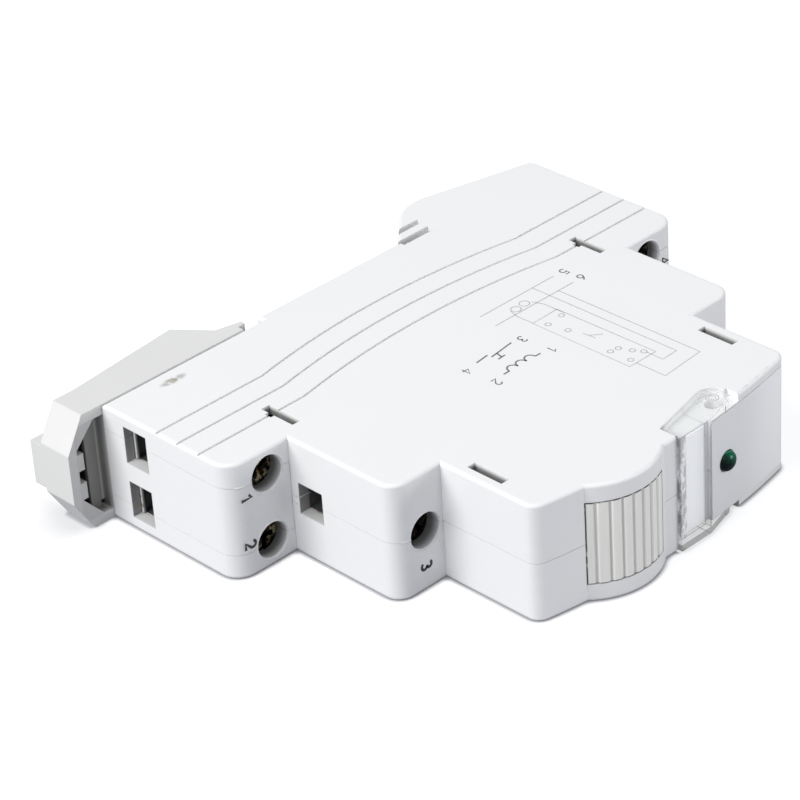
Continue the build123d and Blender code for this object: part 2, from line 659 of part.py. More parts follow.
def terminal_bar(terminal):
    """The fixed contact: a flat bar through the cage, with a leg that is soldered to the board."""
    side = terminal.side
    board_half = BOARD_HALF_WIDE if terminal.face_y == TERMINAL_Y else BOARD_HALF_NARROW
    above = terminal.wire_z > MID
    leg_outer = board_half - (BAR_TAB + CAGE_GAP if above else 0)
    leg_x = sorted((side * leg_outer, side * (leg_outer - BAR_TAB)))
    outer = terminal.screw_x + side * (CAGE_HALF - RIM_R)
    front = bar_front_y(terminal)
    y_range = (front, front + BAR_THICK)
    low = terminal.wire_z - BAR_WIDTH / 2
    high = terminal.wire_z + BAR_WIDTH / 2
    foot = BOARD_TOP + SOLDER_GAP
    with BuildPart() as bar:
        add(block(sorted((outer, side * (board_half + CAGE_GAP))), y_range, (low, high)))
        add(block(sorted((outer, side * (leg_outer - BAR_TAB))), y_range, (max(low, foot), high)))
        add(block(leg_x, y_range, (foot, high)))
    return bar.part


screws = {terminal.name: terminal_screw(terminal) for terminal in TERMINALS}
cages = {terminal.name: terminal_cage(terminal) for terminal in TERMINALS}
bars = {terminal.name: terminal_bar(terminal) for terminal in TERMINALS}

# Rail clip: a hollow grey slider behind the -X end, with a beaked end for a screwdriver
clip_front = RAIL_Y + CLIP_GAP
clip_end_x = -HALF - CLIP_END_REACH
claw_x = FLANGE_NEAR + CLIP_GRIP
clip_end_y = RAIL_Y + CLIP_END_DEPTH
clip_back_y = RAIL_Y + CLIP_BACK_DEPTH
nose_x = FLANGE_NEAR - CLIP_NOSE_RUN
bend_x = FLANGE_NEAR - CLIP_SHOULDER_RUN
claw_y = RAIL_Y + FLANGE - 2 * CLIP_GAP
hollow_rear = RAIL_Y + CLIP_END_DEPTH - CLIP_WALL
cross_x = -HALF + CLIP_GAP


def clip_end_face(wall, corner_set_in, rise):
    """The clip's beaked end in the front view, or its hollow when set in by the wall."""
    beak = clip_end_x - CLIP_BEAK + wall
    corner = clip_end_x + corner_set_in
    with BuildSketch(Plane((0, clip_front, 0), x_dir=(1, 0, 0), z_dir=(0, -1, 0))) as face:
        with BuildLine():
            Polyline((cross_x, wall), (corner, wall), (beak, CLIP_BEAK_LOW + rise),
                     (beak, CLIP_BEAK_HIGH + rise), (corner, THICK - wall), (cross_x, THICK - wall),
                     close=True)
        make_face()
    return face.sketch


with BuildPart() as rail_clip:
    with BuildSketch(Plane.XY):
        with BuildLine():
            Polyline((cross_x, clip_front), (FLANGE_NEAR, clip_front), (FLANGE_NEAR, claw_y),
                     (claw_x, claw_y), (claw_x, claw_y + CLIP_CLAW),
                     (bend_x, RAIL_Y + CLIP_SHOULDER_DEPTH), (nose_x, clip_back_y),
                     (cross_x, clip_end_y + CLIP_GAP), close=True)
        make_face()
    extrude(amount=THICK)
    extrude(to_extrude=clip_end_face(0, 0, 0), amount=-CLIP_END_DEPTH)
    fillet(rail_clip.edges().filter_by(Axis.Y).group_by(Axis.X)[0], RIM_R)
    # Middle tab that stands out behind the beak
    add(block((clip_end_x - CLIP_BEAK, cross_x), (clip_end_y - CLIP_WALL, RAIL_Y + CLIP_TAB_DEPTH),
              (CLIP_BEAK_LOW + RIM_R, CLIP_BEAK_HIGH - RIM_R)))
    # Hollow beside the housing's end: a screwdriver slot along the beak and a shallow panel beside it
    extrude(to_extrude=clip_end_face(CLIP_WALL, CLIP_HOLLOW_SET_IN, CLIP_HOLLOW_RISE),
            amount=-(CLIP_END_DEPTH - CLIP_WALL), mode=Mode.SUBTRACT)
    beak_wall = clip_end_x - CLIP_BEAK + CLIP_WALL
    panel_front = clip_front + CLIP_PANEL_DEPTH
    add(block((beak_wall + CLIP_SLOT, cross_x), (panel_front, hollow_rear), (CLIP_WALL, THICK - CLIP_WALL)))
    for pocket_low in (CLIP_WALL, THICK - CLIP_WALL - CLIP_POCKET):
        add(block((cross_x - CLIP_POCKET, cross_x), (panel_front, hollow_rear - CLIP_WALL),
                  (pocket_low, pocket_low + CLIP_POCKET)), mode=Mode.SUBTRACT)
    # Hollow that takes the guide and the spring, behind two lips that hold the guide's head
    tunnel_x = (cross_x + CLIP_WALL, TUNNEL_END_X)
    tunnel_half = GUIDE_HEAD / 2 + CLIP_GAP
    lip_rear = clip_front + GUIDE_LIP
    add(block(tunnel_x, (lip_rear, hollow_rear), (MID - tunnel_half, MID + tunnel_half)),
        mode=Mode.SUBTRACT)
    add(block(tunnel_x, (clip_front - OVERRUN, lip_rear),
              (MID - GUIDE_STEM / 2 - CLIP_GAP, MID + GUIDE_STEM / 2 + CLIP_GAP)), mode=Mode.SUBTRACT)
    # Two teeth inside the beak
    tooth = (CLIP_BEAK_HIGH - CLIP_BEAK_LOW) / 3
    for level in (MID + tooth / 4, MID - 3 * tooth / 2):
        add(block((beak_wall - CLIP_WALL / 2, beak_wall + CLIP_TOOTH), (clip_front, hollow_rear),
                  (level, level + tooth)))

# Folded leaf spring between the guide's end and the clip's tip
with BuildPart() as clip_spring:
    spring_start = GUIDE_END_X + RUN_GAP
    spring_end = tunnel_x[1] - RUN_GAP
    fold = (spring_end - spring_start) / SPRING_FOLDS
    spring_low = lip_rear + CLIP_GAP
    spring_high = hollow_rear - CLIP_GAP
    with BuildSketch(Plane.XY.offset(MID - SPRING_WIDTH / 2)):
        for index in range(SPRING_FOLDS):
            x_left = spring_start + index * fold
            x_right = x_left + fold - SPRING_STRIP
            y_left, y_right = (spring_low, spring_high) if index % 2 else (spring_high, spring_low)
            with BuildLine():
                Polyline((x_left, y_left), (x_left + SPRING_STRIP, y_left),
                         (x_right + SPRING_STRIP, y_right), (x_right, y_right), close=True)
            make_face()
            if index < SPRING_FOLDS - 1:
                inward = 1 if y_right < y_left else -1
                with BuildLine():
                    Polyline((x_right, y_right), (x_right + 2 * SPRING_STRIP, y_right),
                             (x_right + 2 * SPRING_STRIP, y_right + inward * SPRING_STRIP),
                             (x_right, y_right + inward * SPRING_STRIP), close=True)
                make_face()
    extrude(amount=SPRING_WIDTH)


def bulge_band(outer, inner, left, right):
    """A band of the bulge's arc between two radii, cut square at left and right of its centre."""
    with BuildSketch(Plane.XY) as band:
        with Locations((BULGE_X, BULGE_Y)):
            Circle(outer)
            Circle(inner, mode=Mode.SUBTRACT)
        with BuildLine():
            front = BULGE_Y - BULGE_R - OVERRUN
            rear = BULGE_Y - BUTTON_LEFT / 2
            Polyline((BULGE_X - left, front), (BULGE_X + right, front), (BULGE_X + right, rear),
                     (BULGE_X - left, rear), close=True)
        make_face(mode=Mode.INTERSECT)
    return band.sketch


# Ribbed button: a curved cap in the bulge, with a flange that keeps it in and a stem to the switch
button_x = BULGE_X + (BUTTON_RIGHT - BUTTON_LEFT) / 2
switch_front = BOARD_FRONT - BUTTON_TRAVEL
with BuildPart() as ribbed_button:
    with BuildSketch(Plane.XY.offset(MID - BUTTON_HEIGHT / 2)):
        add(bulge_band(BULGE_R, BULGE_R - WALL - BUTTON_FLANGE, BUTTON_LEFT, BUTTON_RIGHT))
        for index in range(FLUTE_COUNT):
            flute_x = FLUTE_FIRST + index * FLUTE_PITCH
            flute_y = sqrt((BULGE_R + FLUTE_LIFT)**2 - flute_x**2)
            with Locations((BULGE_X + flute_x, BULGE_Y - flute_y)):
                Circle(FLUTE_R, mode=Mode.SUBTRACT)
    extrude(amount=BUTTON_HEIGHT)
    with BuildSketch(Plane.XY.offset(MID - BUTTON_FLANGE_HEIGHT / 2)):
        flange_r = BULGE_R - WALL - BUTTON_GAP
        add(bulge_band(flange_r, flange_r - BUTTON_FLANGE, BUTTON_LEFT - RIM_R, BUTTON_RIGHT + RIM_R))
    extrude(amount=BUTTON_FLANGE_HEIGHT)
    add(block((button_x - PUSHER / 2, button_x + PUSHER / 2),
              (BULGE_Y - flange_r + BUTTON_FLANGE / 2, switch_front - RUN_GAP),
              (MID - PUSHER / 2, MID + PUSHER / 2)))

# Label flap: clear front, two arms, and a pin on each arm
with BuildPart() as label_flap:
    with BuildSketch(Plane.XY.offset(FLAP_SET_IN)):
        add(arm_face(0))
    extrude(amount=THICK - 2 * FLAP_SET_IN)
    keep = FLAP_SET_IN + FLAP_ARM
    add(block((-FLAP_LEFT + FLAP_THICK, PIVOT_X + HALF), (FLAP_FRONT_Y + FLAP_THICK, RAIL_Y),
              (keep, THICK - keep)), mode=Mode.SUBTRACT)
    add(block((-HALF, FLAP_RIGHT), (FLAP_SEAT_Y - FLAP_LIP, RAIL_Y), (keep, THICK - keep)),
        mode=Mode.SUBTRACT)
    add(block((FLAP_RIGHT, HALF), (FLAP_FRONT_Y - OVERRUN, RAIL_Y), (keep, THICK - keep)),
        mode=Mode.SUBTRACT)
    for pin_start in (keep, THICK - keep - PIVOT_PIN_LENGTH):
        add(peg(PIVOT_X, PIVOT_Y, PIVOT_PIN_R, pin_start, pin_start + PIVOT_PIN_LENGTH))

# Paper label behind the flap
with BuildPart() as label_strip:
    add(block((-FLAP_LEFT + FLAP_THICK + FLAP_GAP, FLAP_RIGHT - FLAP_GAP),
              (FLAP_SEAT_Y - LABEL_THICK - RUN_GAP, FLAP_SEAT_Y - RUN_GAP),
              (LABEL_MARGIN, THICK - LABEL_MARGIN)))

# Printed foil on the front crown, with a hole for the status light
with BuildPart() as front_foil:
    with BuildSketch(Plane.XY.offset(FOIL_MARGIN + RUN_GAP)):
        add(foil_face(FOIL_SINK - FOIL_BOND, FOIL_THICK + FOIL_BOND - FOIL_SINK))
    extrude(amount=THICK - 2 * FOIL_MARGIN - 2 * RUN_GAP)
    add(rod(LED_X, MID, LED_R + LED_GAP, CROWN_Y - OVERRUN, CROWN_Y + 2 * WALL), mode=Mode.SUBTRACT)

# Status light with its formed leads
led_back = LED_Y + LED_LENGTH
with BuildPart() as status_led:
    with BuildSketch(Plane((LED_X, 0, MID), x_dir=(1, 0, 0), z_dir=(0, 0, 1))):
        with BuildLine():
            Line((0, LED_Y - LED_DOME), (0, led_back))
            Polyline((0, led_back), (LED_R + LED_RIM, led_back), (LED_R + LED_RIM, led_back - LED_DOME),
                     (LED_R, led_back - LED_DOME), (LED_R, LED_Y))
            EllipticalCenterArc((0, LED_Y), LED_R, LED_DOME, start_angle=270, arc_size=90)
        make_face()
    revolve(axis=Axis((LED_X, 0, MID), (0, 1, 0)))

with BuildPart() as led_leads:
    for side in (-1, 1):
        lead_x = LED_X + side * LEAD_PITCH / 2
        foot_y = BOARD_FRONT + 2 * LEAD_PITCH
        add(block((lead_x - LEAD_SIZE / 2, lead_x + LEAD_SIZE / 2),
                  (led_back + RUN_GAP, foot_y + LEAD_SIZE / 2),
                  (MID - LEAD_SIZE / 2, MID + LEAD_SIZE / 2)))
        add(block((lead_x - LEAD_SIZE / 2, lead_x + LEAD_SIZE / 2),
                  (foot_y - LEAD_SIZE / 2, foot_y + LEAD_SIZE / 2),
                  (BOARD_TOP + SOLDER_GAP, MID + LEAD_SIZE / 2)))

# Main board on the lower shell's posts
with BuildPart() as main_board:
    with BuildSketch(Plane.XY.offset(BOARD_Z)):
        with BuildLine():
            Polyline((-BOARD_HALF_WIDE, BOARD_REAR), (-BOARD_HALF_WIDE, BOARD_STEP),
                     (-BOARD_HALF_NARROW, BOARD_STEP), (-BOARD_HALF_NARROW, BOARD_FRONT),
                     (BOARD_HALF_NARROW, BOARD_FRONT), (BOARD_HALF_NARROW, BOARD_STEP),
                     (BOARD_HALF_WIDE, BOARD_STEP), (BOARD_HALF_WIDE, BOARD_REAR), close=True)
        make_face()
        with Locations(*POSTS):
            Circle(PEG_R + RUN_GAP, mode=Mode.SUBTRACT)
    extrude(amount=BOARD_THICK)


def board_block(centre, size, corner):
    """A moulded component on the board: a block with rounded upright edges."""
    with BuildPart() as component:
        with BuildSketch(Plane.XY.offset(BOARD_TOP + SOLDER_GAP)):
            with Locations(centre):
                RectangleRounded(size[0], size[1], corner)
        extrude(amount=size[2])
    return component.part


# Tact switch at the board's front edge, facing the button, and its plunger
switch_y = BOARD_FRONT + SWITCH_SIZE[1] / 2
switch_body = board_block((button_x, switch_y), SWITCH_SIZE, RIM_R)
with BuildPart() as tact_switch:
    add(switch_body)
    add(rod(button_x, MID, PLUNGER_R + RUN_GAP, BOARD_FRONT - OVERRUN,
            BOARD_FRONT + 2 * BUTTON_TRAVEL), mode=Mode.SUBTRACT)
with BuildPart() as tact_plunger:
    add(rod(button_x, MID, PLUNGER_R, switch_front, BOARD_FRONT + BUTTON_TRAVEL - RUN_GAP))

# Wi-Fi module: a small board with its shield can, near the front where no metal covers it
wifi_part = board_block(WIFI_CENTRE, WIFI_SIZE, RUN_GAP)
with BuildPart() as wifi_board:
    add(wifi_part)
with BuildPart() as wifi_shield:
    with BuildSketch(Plane.XY.offset(BOARD_TOP + 2 * SOLDER_GAP + WIFI_SIZE[2])):
        with Locations((WIFI_CENTRE[0], WIFI_CENTRE[1] + SHIELD_SHIFT)):
            RectangleRounded(SHIELD_SIZE[0], SHIELD_SIZE[1], RIM_R)
    extrude(amount=SHIELD_SIZE[2])

# Fusible resistor and varistor beside the supply terminals
fuse_z = BOARD_TOP + SOLDER_GAP + FUSE_R
with BuildPart() as fuse_resistor:
    with BuildSketch(Plane((FUSE_PLACE[0] - FUSE_LENGTH / 2, FUSE_PLACE[1], fuse_z), z_dir=(1, 0, 0))):
        Circle(FUSE_R)
    extrude(amount=FUSE_LENGTH)
    fillet(fuse_resistor.edges(), FUSE_R / 3)

with BuildPart() as varistor:
    varistor_z = BOARD_TOP + SOLDER_GAP + VARISTOR_R
    add(rod(VARISTOR_PLACE[0], varistor_z, VARISTOR_R, VARISTOR_PLACE[1] - VARISTOR_THICK / 2,
            VARISTOR_PLACE[1] + VARISTOR_THICK / 2))
    fillet(varistor.edges().filter_by(GeomType.CIRCLE), VARISTOR_THICK / 3)

with BuildPart() as bridge_rectifier:
    add(board_block(BRIDGE_PLACE, BRIDGE_SIZE, RIM_R / 2))


def can_capacitor(place, radius, height):
    """A standing electrolytic can with a rolled groove near its foot."""
    foot = BOARD_TOP + SOLDER_GAP
    groove_z = foot + height / 6
    with BuildPart() as can:
        add(peg(place[0], place[1], radius, foot, foot + height))
        fillet(can.faces().sort_by(Axis.Z)[-1].edges(), RIM_R)
        with BuildSketch(Plane.XY.offset(groove_z)):
            with Locations(place):
                Circle(radius + OVERRUN)
                Circle(radius - RIM_R / 2, mode=Mode.SUBTRACT)
        extrude(amount=RIM_R, mode=Mode.SUBTRACT)
    return can.part


with BuildPart() as bulk_capacitor:
    add(can_capacitor(BULK_PLACE, BULK_R, BULK_HEIGHT))
with BuildPart() as output_capacitor:
    add(can_capacitor(OUTPUT_PLACE, OUTPUT_R, OUTPUT_HEIGHT))

# Transformer: a ferrite core round a taped winding
winding_height = CORE_SIZE[2] + 2 * WINDING_SIZE[2]
winding_solid = board_block(CORE_PLACE, (WINDING_SIZE[0], WINDING_SIZE[1], winding_height), RIM_R)
core_low = BOARD_TOP + SOLDER_GAP + WINDING_SIZE[2]
with BuildPart() as transformer_winding:
    add(winding_solid)
    add(block((CORE_PLACE[0] - CORE_SIZE[0] / 4, CORE_PLACE[0] + CORE_SIZE[0] / 4),
              (CORE_PLACE[1] - CORE_SIZE[1], CORE_PLACE[1] + CORE_SIZE[1]),
              (core_low, core_low + CORE_SIZE[2])), mode=Mode.SUBTRACT)
with BuildPart() as transformer_core:
    add(block((CORE_PLACE[0] - CORE_SIZE[0] / 2, CORE_PLACE[0] + CORE_SIZE[0] / 2),
              (CORE_PLACE[1] - CORE_SIZE[1] / 2, CORE_PLACE[1] + CORE_SIZE[1] / 2),
              (core_low, core_low + CORE_SIZE[2])))
    add(winding_solid, mode=Mode.SUBTRACT)
    add(block((CORE_PLACE[0] - CORE_SIZE[0] / 4 + RUN_GAP, CORE_PLACE[0] + CORE_SIZE[0] / 4 - RUN_GAP),
              (CORE_PLACE[1] - CORE_SIZE[1] / 2, CORE_PLACE[1] + CORE_SIZE[1] / 2),
              (core_low + RUN_GAP, core_low + CORE_SIZE[2] - RUN_GAP)))

with BuildPart() as meter_chip:
    add(board_block(METER_CHIP_PLACE, METER_CHIP_SIZE, RIM_R / 2))
with BuildPart() as crystal:
    add(board_block(CRYSTAL_PLACE, CRYSTAL_SIZE, CRYSTAL_SIZE[0] / 3))
with BuildPart() as burden_resistors:
    for index in range(2):
        add(board_block((BURDEN_PLACE[0], BURDEN_PLACE[1] + index * BURDEN_PITCH), BURDEN_SIZE,
                        RUN_GAP))

os.makedirs("parts", exist_ok=True)
named = {
    "upper_shell": upper_shell.part,
    "lower_shell": lower_shell.part,
    "carrier_near": carrier_near.part,
    "carrier_far": carrier_far.part,
    "rail_clip": rail_clip.part,
    "clip_spring": clip_spring.part,
    "ribbed_button": ribbed_button.part,
    "label_flap": label_flap.part,
    "label_strip": label_strip.part,
    "front_foil": front_foil.part,
    "status_led": status_led.part,
    "led_leads": led_leads.part,
    "main_board": main_board.part,
    "tact_switch": tact_switch.part,
    "tact_plunger": tact_plunger.part,
    "wifi_board": wifi_board.part,
    "wifi_shield": wifi_shield.part,
    "fuse_resistor": fuse_resistor.part,
    "varistor": varistor.part,
    "bridge_rectifier": bridge_rectifier.part,
    "bulk_capacitor": bulk_capacitor.part,
    "output_capacitor": output_capacitor.part,
    "transformer_core": transformer_core.part,
    "transformer_winding": transformer_winding.part,
    "meter_chip": meter_chip.part,
    "crystal": crystal.part,
    "burden_resistors": burden_resistors.part,
}
for terminal in TERMINALS:
    named["screw_" + terminal.name] = screws[terminal.name]
    named["cage_" + terminal.name] = cages[terminal.name]
    named["bar_" + terminal.name] = bars[terminal.name]
for name, part in named.items():
    part.label = name
    export_step(part, f"parts/{name}.step")
print(len(named), "parts written")
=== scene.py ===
"""Looks of the smart energy monitor: a one-module meter for a top-hat rail, lying on its side.

All lengths are in metres, in the frame of the CAD part: X runs along the rail clip's travel, -Y is
the front, +Y is the rail side and +Z is up. The sections follow the meter as it is put together.
"""
import math

import bmesh
import bpy
from mathutils import Matrix, Quaternion, Vector


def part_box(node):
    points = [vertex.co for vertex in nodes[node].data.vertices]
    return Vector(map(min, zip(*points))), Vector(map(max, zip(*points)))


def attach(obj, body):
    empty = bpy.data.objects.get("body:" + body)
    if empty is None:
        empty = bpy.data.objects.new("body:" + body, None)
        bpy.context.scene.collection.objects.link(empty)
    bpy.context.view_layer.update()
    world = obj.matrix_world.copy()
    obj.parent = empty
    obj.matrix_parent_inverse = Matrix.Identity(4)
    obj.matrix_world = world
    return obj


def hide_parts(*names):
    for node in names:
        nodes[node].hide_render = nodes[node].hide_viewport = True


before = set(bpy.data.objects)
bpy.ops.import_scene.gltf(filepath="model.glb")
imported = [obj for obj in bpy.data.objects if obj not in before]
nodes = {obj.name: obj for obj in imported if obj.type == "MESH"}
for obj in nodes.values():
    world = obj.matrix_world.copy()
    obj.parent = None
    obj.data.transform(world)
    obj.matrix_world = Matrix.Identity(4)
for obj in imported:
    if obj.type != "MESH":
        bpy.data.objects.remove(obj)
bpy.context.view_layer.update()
scene = bpy.context.scene
scene.view_settings.view_transform = "Standard"


# The photographer's table: a long lens, a little rolled, above a sheet of white paper. A large soft
# box stands at the upper left, so the faces towards it are nearly as light as the top, and a small
# weak one stands close to the front.
MM = 0.001
lens = bpy.data.cameras.new("camera")
lens.sensor_width = 36
lens.lens = 145.43
lens.clip_start = 0.02
lens.clip_end = 20
camera = bpy.data.objects.new("camera", lens)
scene.collection.objects.link(camera)
camera.location = (-0.26581, -0.26783, 0.24260)
camera.rotation_mode = "QUATERNION"
camera.rotation_quaternion = Vector((0.57736, 0.62808, -0.52170)).to_track_quat("-Z", "Y") @ Quaternion(
    (0, 0, 1), math.radians(-3.93))
scene.camera = camera


class Field:
    """A number that varies over a surface. Python's operators add the Math nodes."""

    def __init__(self, finish, socket):
        self.finish, self.socket = finish, socket

    def math(self, operation, first, second):
        return self.finish.node("ShaderNodeMath", {"operation": operation}, {0: first, 1: second})

    def __add__(self, other):
        return self.math("ADD", self, other)

    def __sub__(self, other):
        return self.math("SUBTRACT", self, other)

    def __rsub__(self, other):
        return self.math("SUBTRACT", other, self)

    def __mul__(self, other):
        return self.math("MULTIPLY", self, other)

    def __truediv__(self, other):
        return self.math("DIVIDE", self, other)

    def __lt__(self, other):
        return self.math("LESS_THAN", self, other)

    def __abs__(self):
        return self.math("ABSOLUTE", self, 0.0)

    def root(self):
        return self.math("SQRT", self, 0.0)

    def fraction(self):
        return self.math("FRACT", self, 0.0)

    def most(self, other):
        return self.math("MAXIMUM", self, other)

    __radd__ = __add__
    __rmul__ = __mul__

    def ramp(self, low, high):
        """0 below low, 1 above high, and smooth between them."""
        return self.finish.node("ShaderNodeMapRange", {"interpolation_type": "SMOOTHSTEP"},
                                {"Value": self, "From Min": low, "From Max": high})


class Finish:
    """What one surface of the meter is made of and how it was finished."""

    def __init__(self, name, **sockets):
        self.material = bpy.data.materials.new(name)
        self.material.use_nodes = True
        self.tree = self.material.node_tree
        self.shader = self.tree.nodes["Principled BSDF"]
        self.place = self.node("ShaderNodeTexCoord", {}, {}, "Object")
        self.feed(self.shader, {key.replace("_", " ").title(): value for key, value in sockets.items()})

    def feed(self, node, sockets):
        for key, value in sockets.items():
            key = key.replace("Ior", "IOR") if isinstance(key, str) else key
            if isinstance(value, Field):
                self.tree.links.new(value.socket, node.inputs[key])
            else:
                node.inputs[key].default_value = value

    def node(self, kind, settings, sockets, out=0):
        """Adds one node, with its settings first, and gives back one of its outputs."""
        node = self.tree.nodes.new(kind)
        for key, value in settings.items():
            setattr(node, key, value)
        self.feed(node, sockets)
        return Field(self, node.outputs[out])

    def noise(self, size, detail=2.0, roughness=0.5, place=None):
        """Cloudy variation from 0 to 1 whose patches are about size across."""
        return self.node("ShaderNodeTexNoise", {}, {"Vector": place or self.place, "Scale": 1 / size,
                                                    "Detail": detail, "Roughness": roughness}, "Fac")

    def mix(self, share, first, second):
        return self.node("ShaderNodeMix", {"data_type": "RGBA"}, {0: share, 6: first, 7: second}, 2)

    def axis(self, name):
        return self.node("ShaderNodeSeparateXYZ", {}, {0: self.place}, name)

    def facing(self, name):
        """1 where the surface faces along an axis, -1 where it faces the other way."""
        normal = self.node("ShaderNodeNewGeometry", {}, {}, "Normal")
        return self.node("ShaderNodeSeparateXYZ", {}, {0: normal}, name)

    def near(self, value, centre, half):
        """1 where value lies within half of centre, 0 elsewhere, with a narrow edge."""
        return 1 - (abs(value - centre) - half).ramp(0.0, 0.00008)

    def relief(self, height, depth, edge=0.0):
        """Normals from a height field that is depth deep, on edges rounded by edge."""
        sockets = {"Height": height, "Distance": depth, "Strength": 1.0}
        if edge:
            sockets["Normal"] = self.node("ShaderNodeBevel", {"samples": 4}, {"Radius": edge})
        self.feed(self.shader, {"Normal": self.node("ShaderNodeBump", {}, sockets)})

    def on(self, *names):
        """Gives this finish to CAD nodes."""
        for name in names:
            for held in nodes[name].material_slots:
                held.material = self.material


def tone(value, alpha=1.0):
    """A colour from its hexadecimal sRGB value."""
    shares = [int(value[i:i + 2], 16) / 255 for i in (0, 2, 4)]
    return (*[s / 12.92 if s <= 0.04045 else ((s + 0.055) / 1.055)**2.4 for s in shares], alpha)


paper = Finish("white_paper", roughness=0.9, specular_ior_level=0.1, emission_strength=1.0)
seen = paper.node("ShaderNodeLightPath", {}, {}, "Is Camera Ray")
paper_x, paper_y = paper.axis("X"), paper.axis("Y")
CLIP_END_X, CLIP_FRONT_Y = -0.045, 0.029
FOOT_X, FOOT_Y = 0.006, -0.0302


def open_sky(reach, low, high):
    """0 where the meter hides the sky from the paper within reach, 1 where nothing does."""
    return paper.node("ShaderNodeAmbientOcclusion", {"samples": 8}, {"Distance": reach}, "AO").ramp(low, high)


# the paper's emission is darkened by a painted shadow in a thin line where the meter stands on it
# and in a soft patch beside the clip, and that painted shadow is lifted on the patch below the flap's foot
under_flap = paper.near(paper_x, FOOT_X, 0.0066) * paper.near(paper_y, FOOT_Y, 0.0026)
contact = open_sky(0.0011, 0.38, 0.88)
near_clip = open_sky(0.012, 0.5, 1.0)
by_clip = (CLIP_END_X - paper_x).ramp(0.0, 0.003) * (paper_y - CLIP_FRONT_Y).ramp(0.0, 0.006)
shade = contact.most(0.75 * under_flap) * (1 - 0.45 * by_clip * (1 - near_clip))
paper.feed(paper.shader, {
    "Base Color": paper.mix(seen, (0.36, 0.365, 0.4, 1), (0.34, 0.34, 0.36, 1)),
    "Emission Color": paper.mix(seen * (0.1 + 0.9 * shade), tone("000000"), (0.78, 0.78, 0.78, 1))})
sheet = bmesh.new()
bmesh.ops.create_circle(sheet, cap_ends=True, segments=96, radius=3.0)
floor = bpy.data.objects.new("floor", bpy.data.meshes.new("floor"))
sheet.to_mesh(floor.data)
floor.data.materials.append(paper.material)
scene.collection.objects.link(floor)

# the room is white to the lens and through the flap, less so where the meter is glossy, and gives
# only a little light of its own
ROOM_LIGHT = 0.085
room = bpy.data.worlds.new("room")
scene.world = room
room.use_nodes = True
air = room.node_tree
ray = air.nodes.new("ShaderNodeLightPath")
plain = air.nodes["Background"]
level = air.nodes.new("ShaderNodeMath")
level.operation = "MAXIMUM"
level.inputs[1].default_value = ROOM_LIGHT
for kind, brightness in (("Is Camera Ray", 1.0), ("Is Glossy Ray", 0.6), ("Is Transmission Ray", 1.0)):
    white = air.nodes.new("ShaderNodeMath")
    white.operation = "MULTIPLY"
    white.inputs[1].default_value = brightness
    air.links.new(ray.outputs[kind], white.inputs[0])
    total = air.nodes.new("ShaderNodeMath")
    total.operation = "MAXIMUM"
    air.links.new(white.outputs[0], total.inputs[0])
    if level.inputs[0].is_linked:
        air.links.new(level.inputs[0].links[0].from_socket, total.inputs[1])
    air.links.new(total.outputs[0], level.inputs[0])
air.links.new(level.outputs[0], plain.inputs["Strength"])
plain.inputs["Color"].default_value = (0.93, 0.96, 1.0, 1)


def soft_box(name, towards, distance, width, watts, colour):
    """A square area lamp that looks at the meter from the direction towards."""
    lamp = bpy.data.lights.new(name, "AREA")
    lamp.energy, lamp.size, lamp.color = watts, width, colour
    held = bpy.data.objects.new(name, lamp)
    scene.collection.objects.link(held)
    held.location = Vector(towards).normalized() * distance
    held.rotation_mode = "QUATERNION"
    held.rotation_quaternion = (-held.location).to_track_quat("-Z", "Y")


soft_box("key", (-0.735, 0.18, 0.665), 1.6, 1.0, 23.2, (1.0, 0.994, 0.978))
soft_box("fill", (0.60, -0.79, 0.14), 0.6, 0.27, 1.42, (1.0, 0.99, 0.98))


# The housing: two half shells with a terminal carrier between them at each end, moulded in white
# ABS. The mould was spark-eroded, which leaves a fine satin grain. A scuff of grime is left on the
# upper face by the rail side, and painted shade darkens the wells, wire holes and snap windows
# more the deeper they go.
SHELLS = ("upper_shell", "lower_shell", "carrier_near", "carrier_far")
MID_Z = 0.009
TERMINAL_Y, SHOULDER_Y = 7.4, -12.3
OUTER_WELL_X, OUTER_WELL_OFF, INNER_WELL_X = 37.35, 5.25, 28.0
SCUFF_X, SCUFF_Y = -0.0335, 0.0300
abs_white = Finish("abs_white", specular_ior_level=0.45)
cloud = abs_white.noise(0.018, 3.0)
at_x, at_y, at_z = (abs_white.axis(name) for name in "XYZ")
out_x, off_z = abs(at_x), abs(at_z - MID_Z)
scuff_x = (at_x - SCUFF_X) / 0.0024
scuff_y = (at_y - SCUFF_Y) / 0.0008
scuff = scuff_x * scuff_x + scuff_y * scuff_y
streaks = abs_white.noise(0.0011, 3.0, 0.6)
grime = (1 - scuff.ramp(0.0, 1.3)) * streaks.ramp(0.34, 0.58) * at_z.ramp(0.0178, 0.0179)


def well_shade(x, z, front):
    """Painted shade: rises from 0 to 1 with the depth in the screw wells whose axes lie x and z mm out."""
    off_x, off_axis = out_x - x * MM, off_z - z * MM
    radius = (off_x * off_x + off_axis * off_axis).root()
    depth = at_y - front * MM
    return (1 - radius.ramp(0.00265, 0.00272)) * depth.ramp(0.0, 0.0017) * (1 - depth.ramp(0.0135, 0.014))


def hole_shade(end, y, z, half):
    """Painted shade: rises from 0 to 1 with the depth in the wire holes that enter at end."""
    inside = abs_white.near(at_y, y, 0.00226) * abs_white.near(off_z, z, half)
    return inside * (end - out_x).ramp(-0.0006, 0.0003)


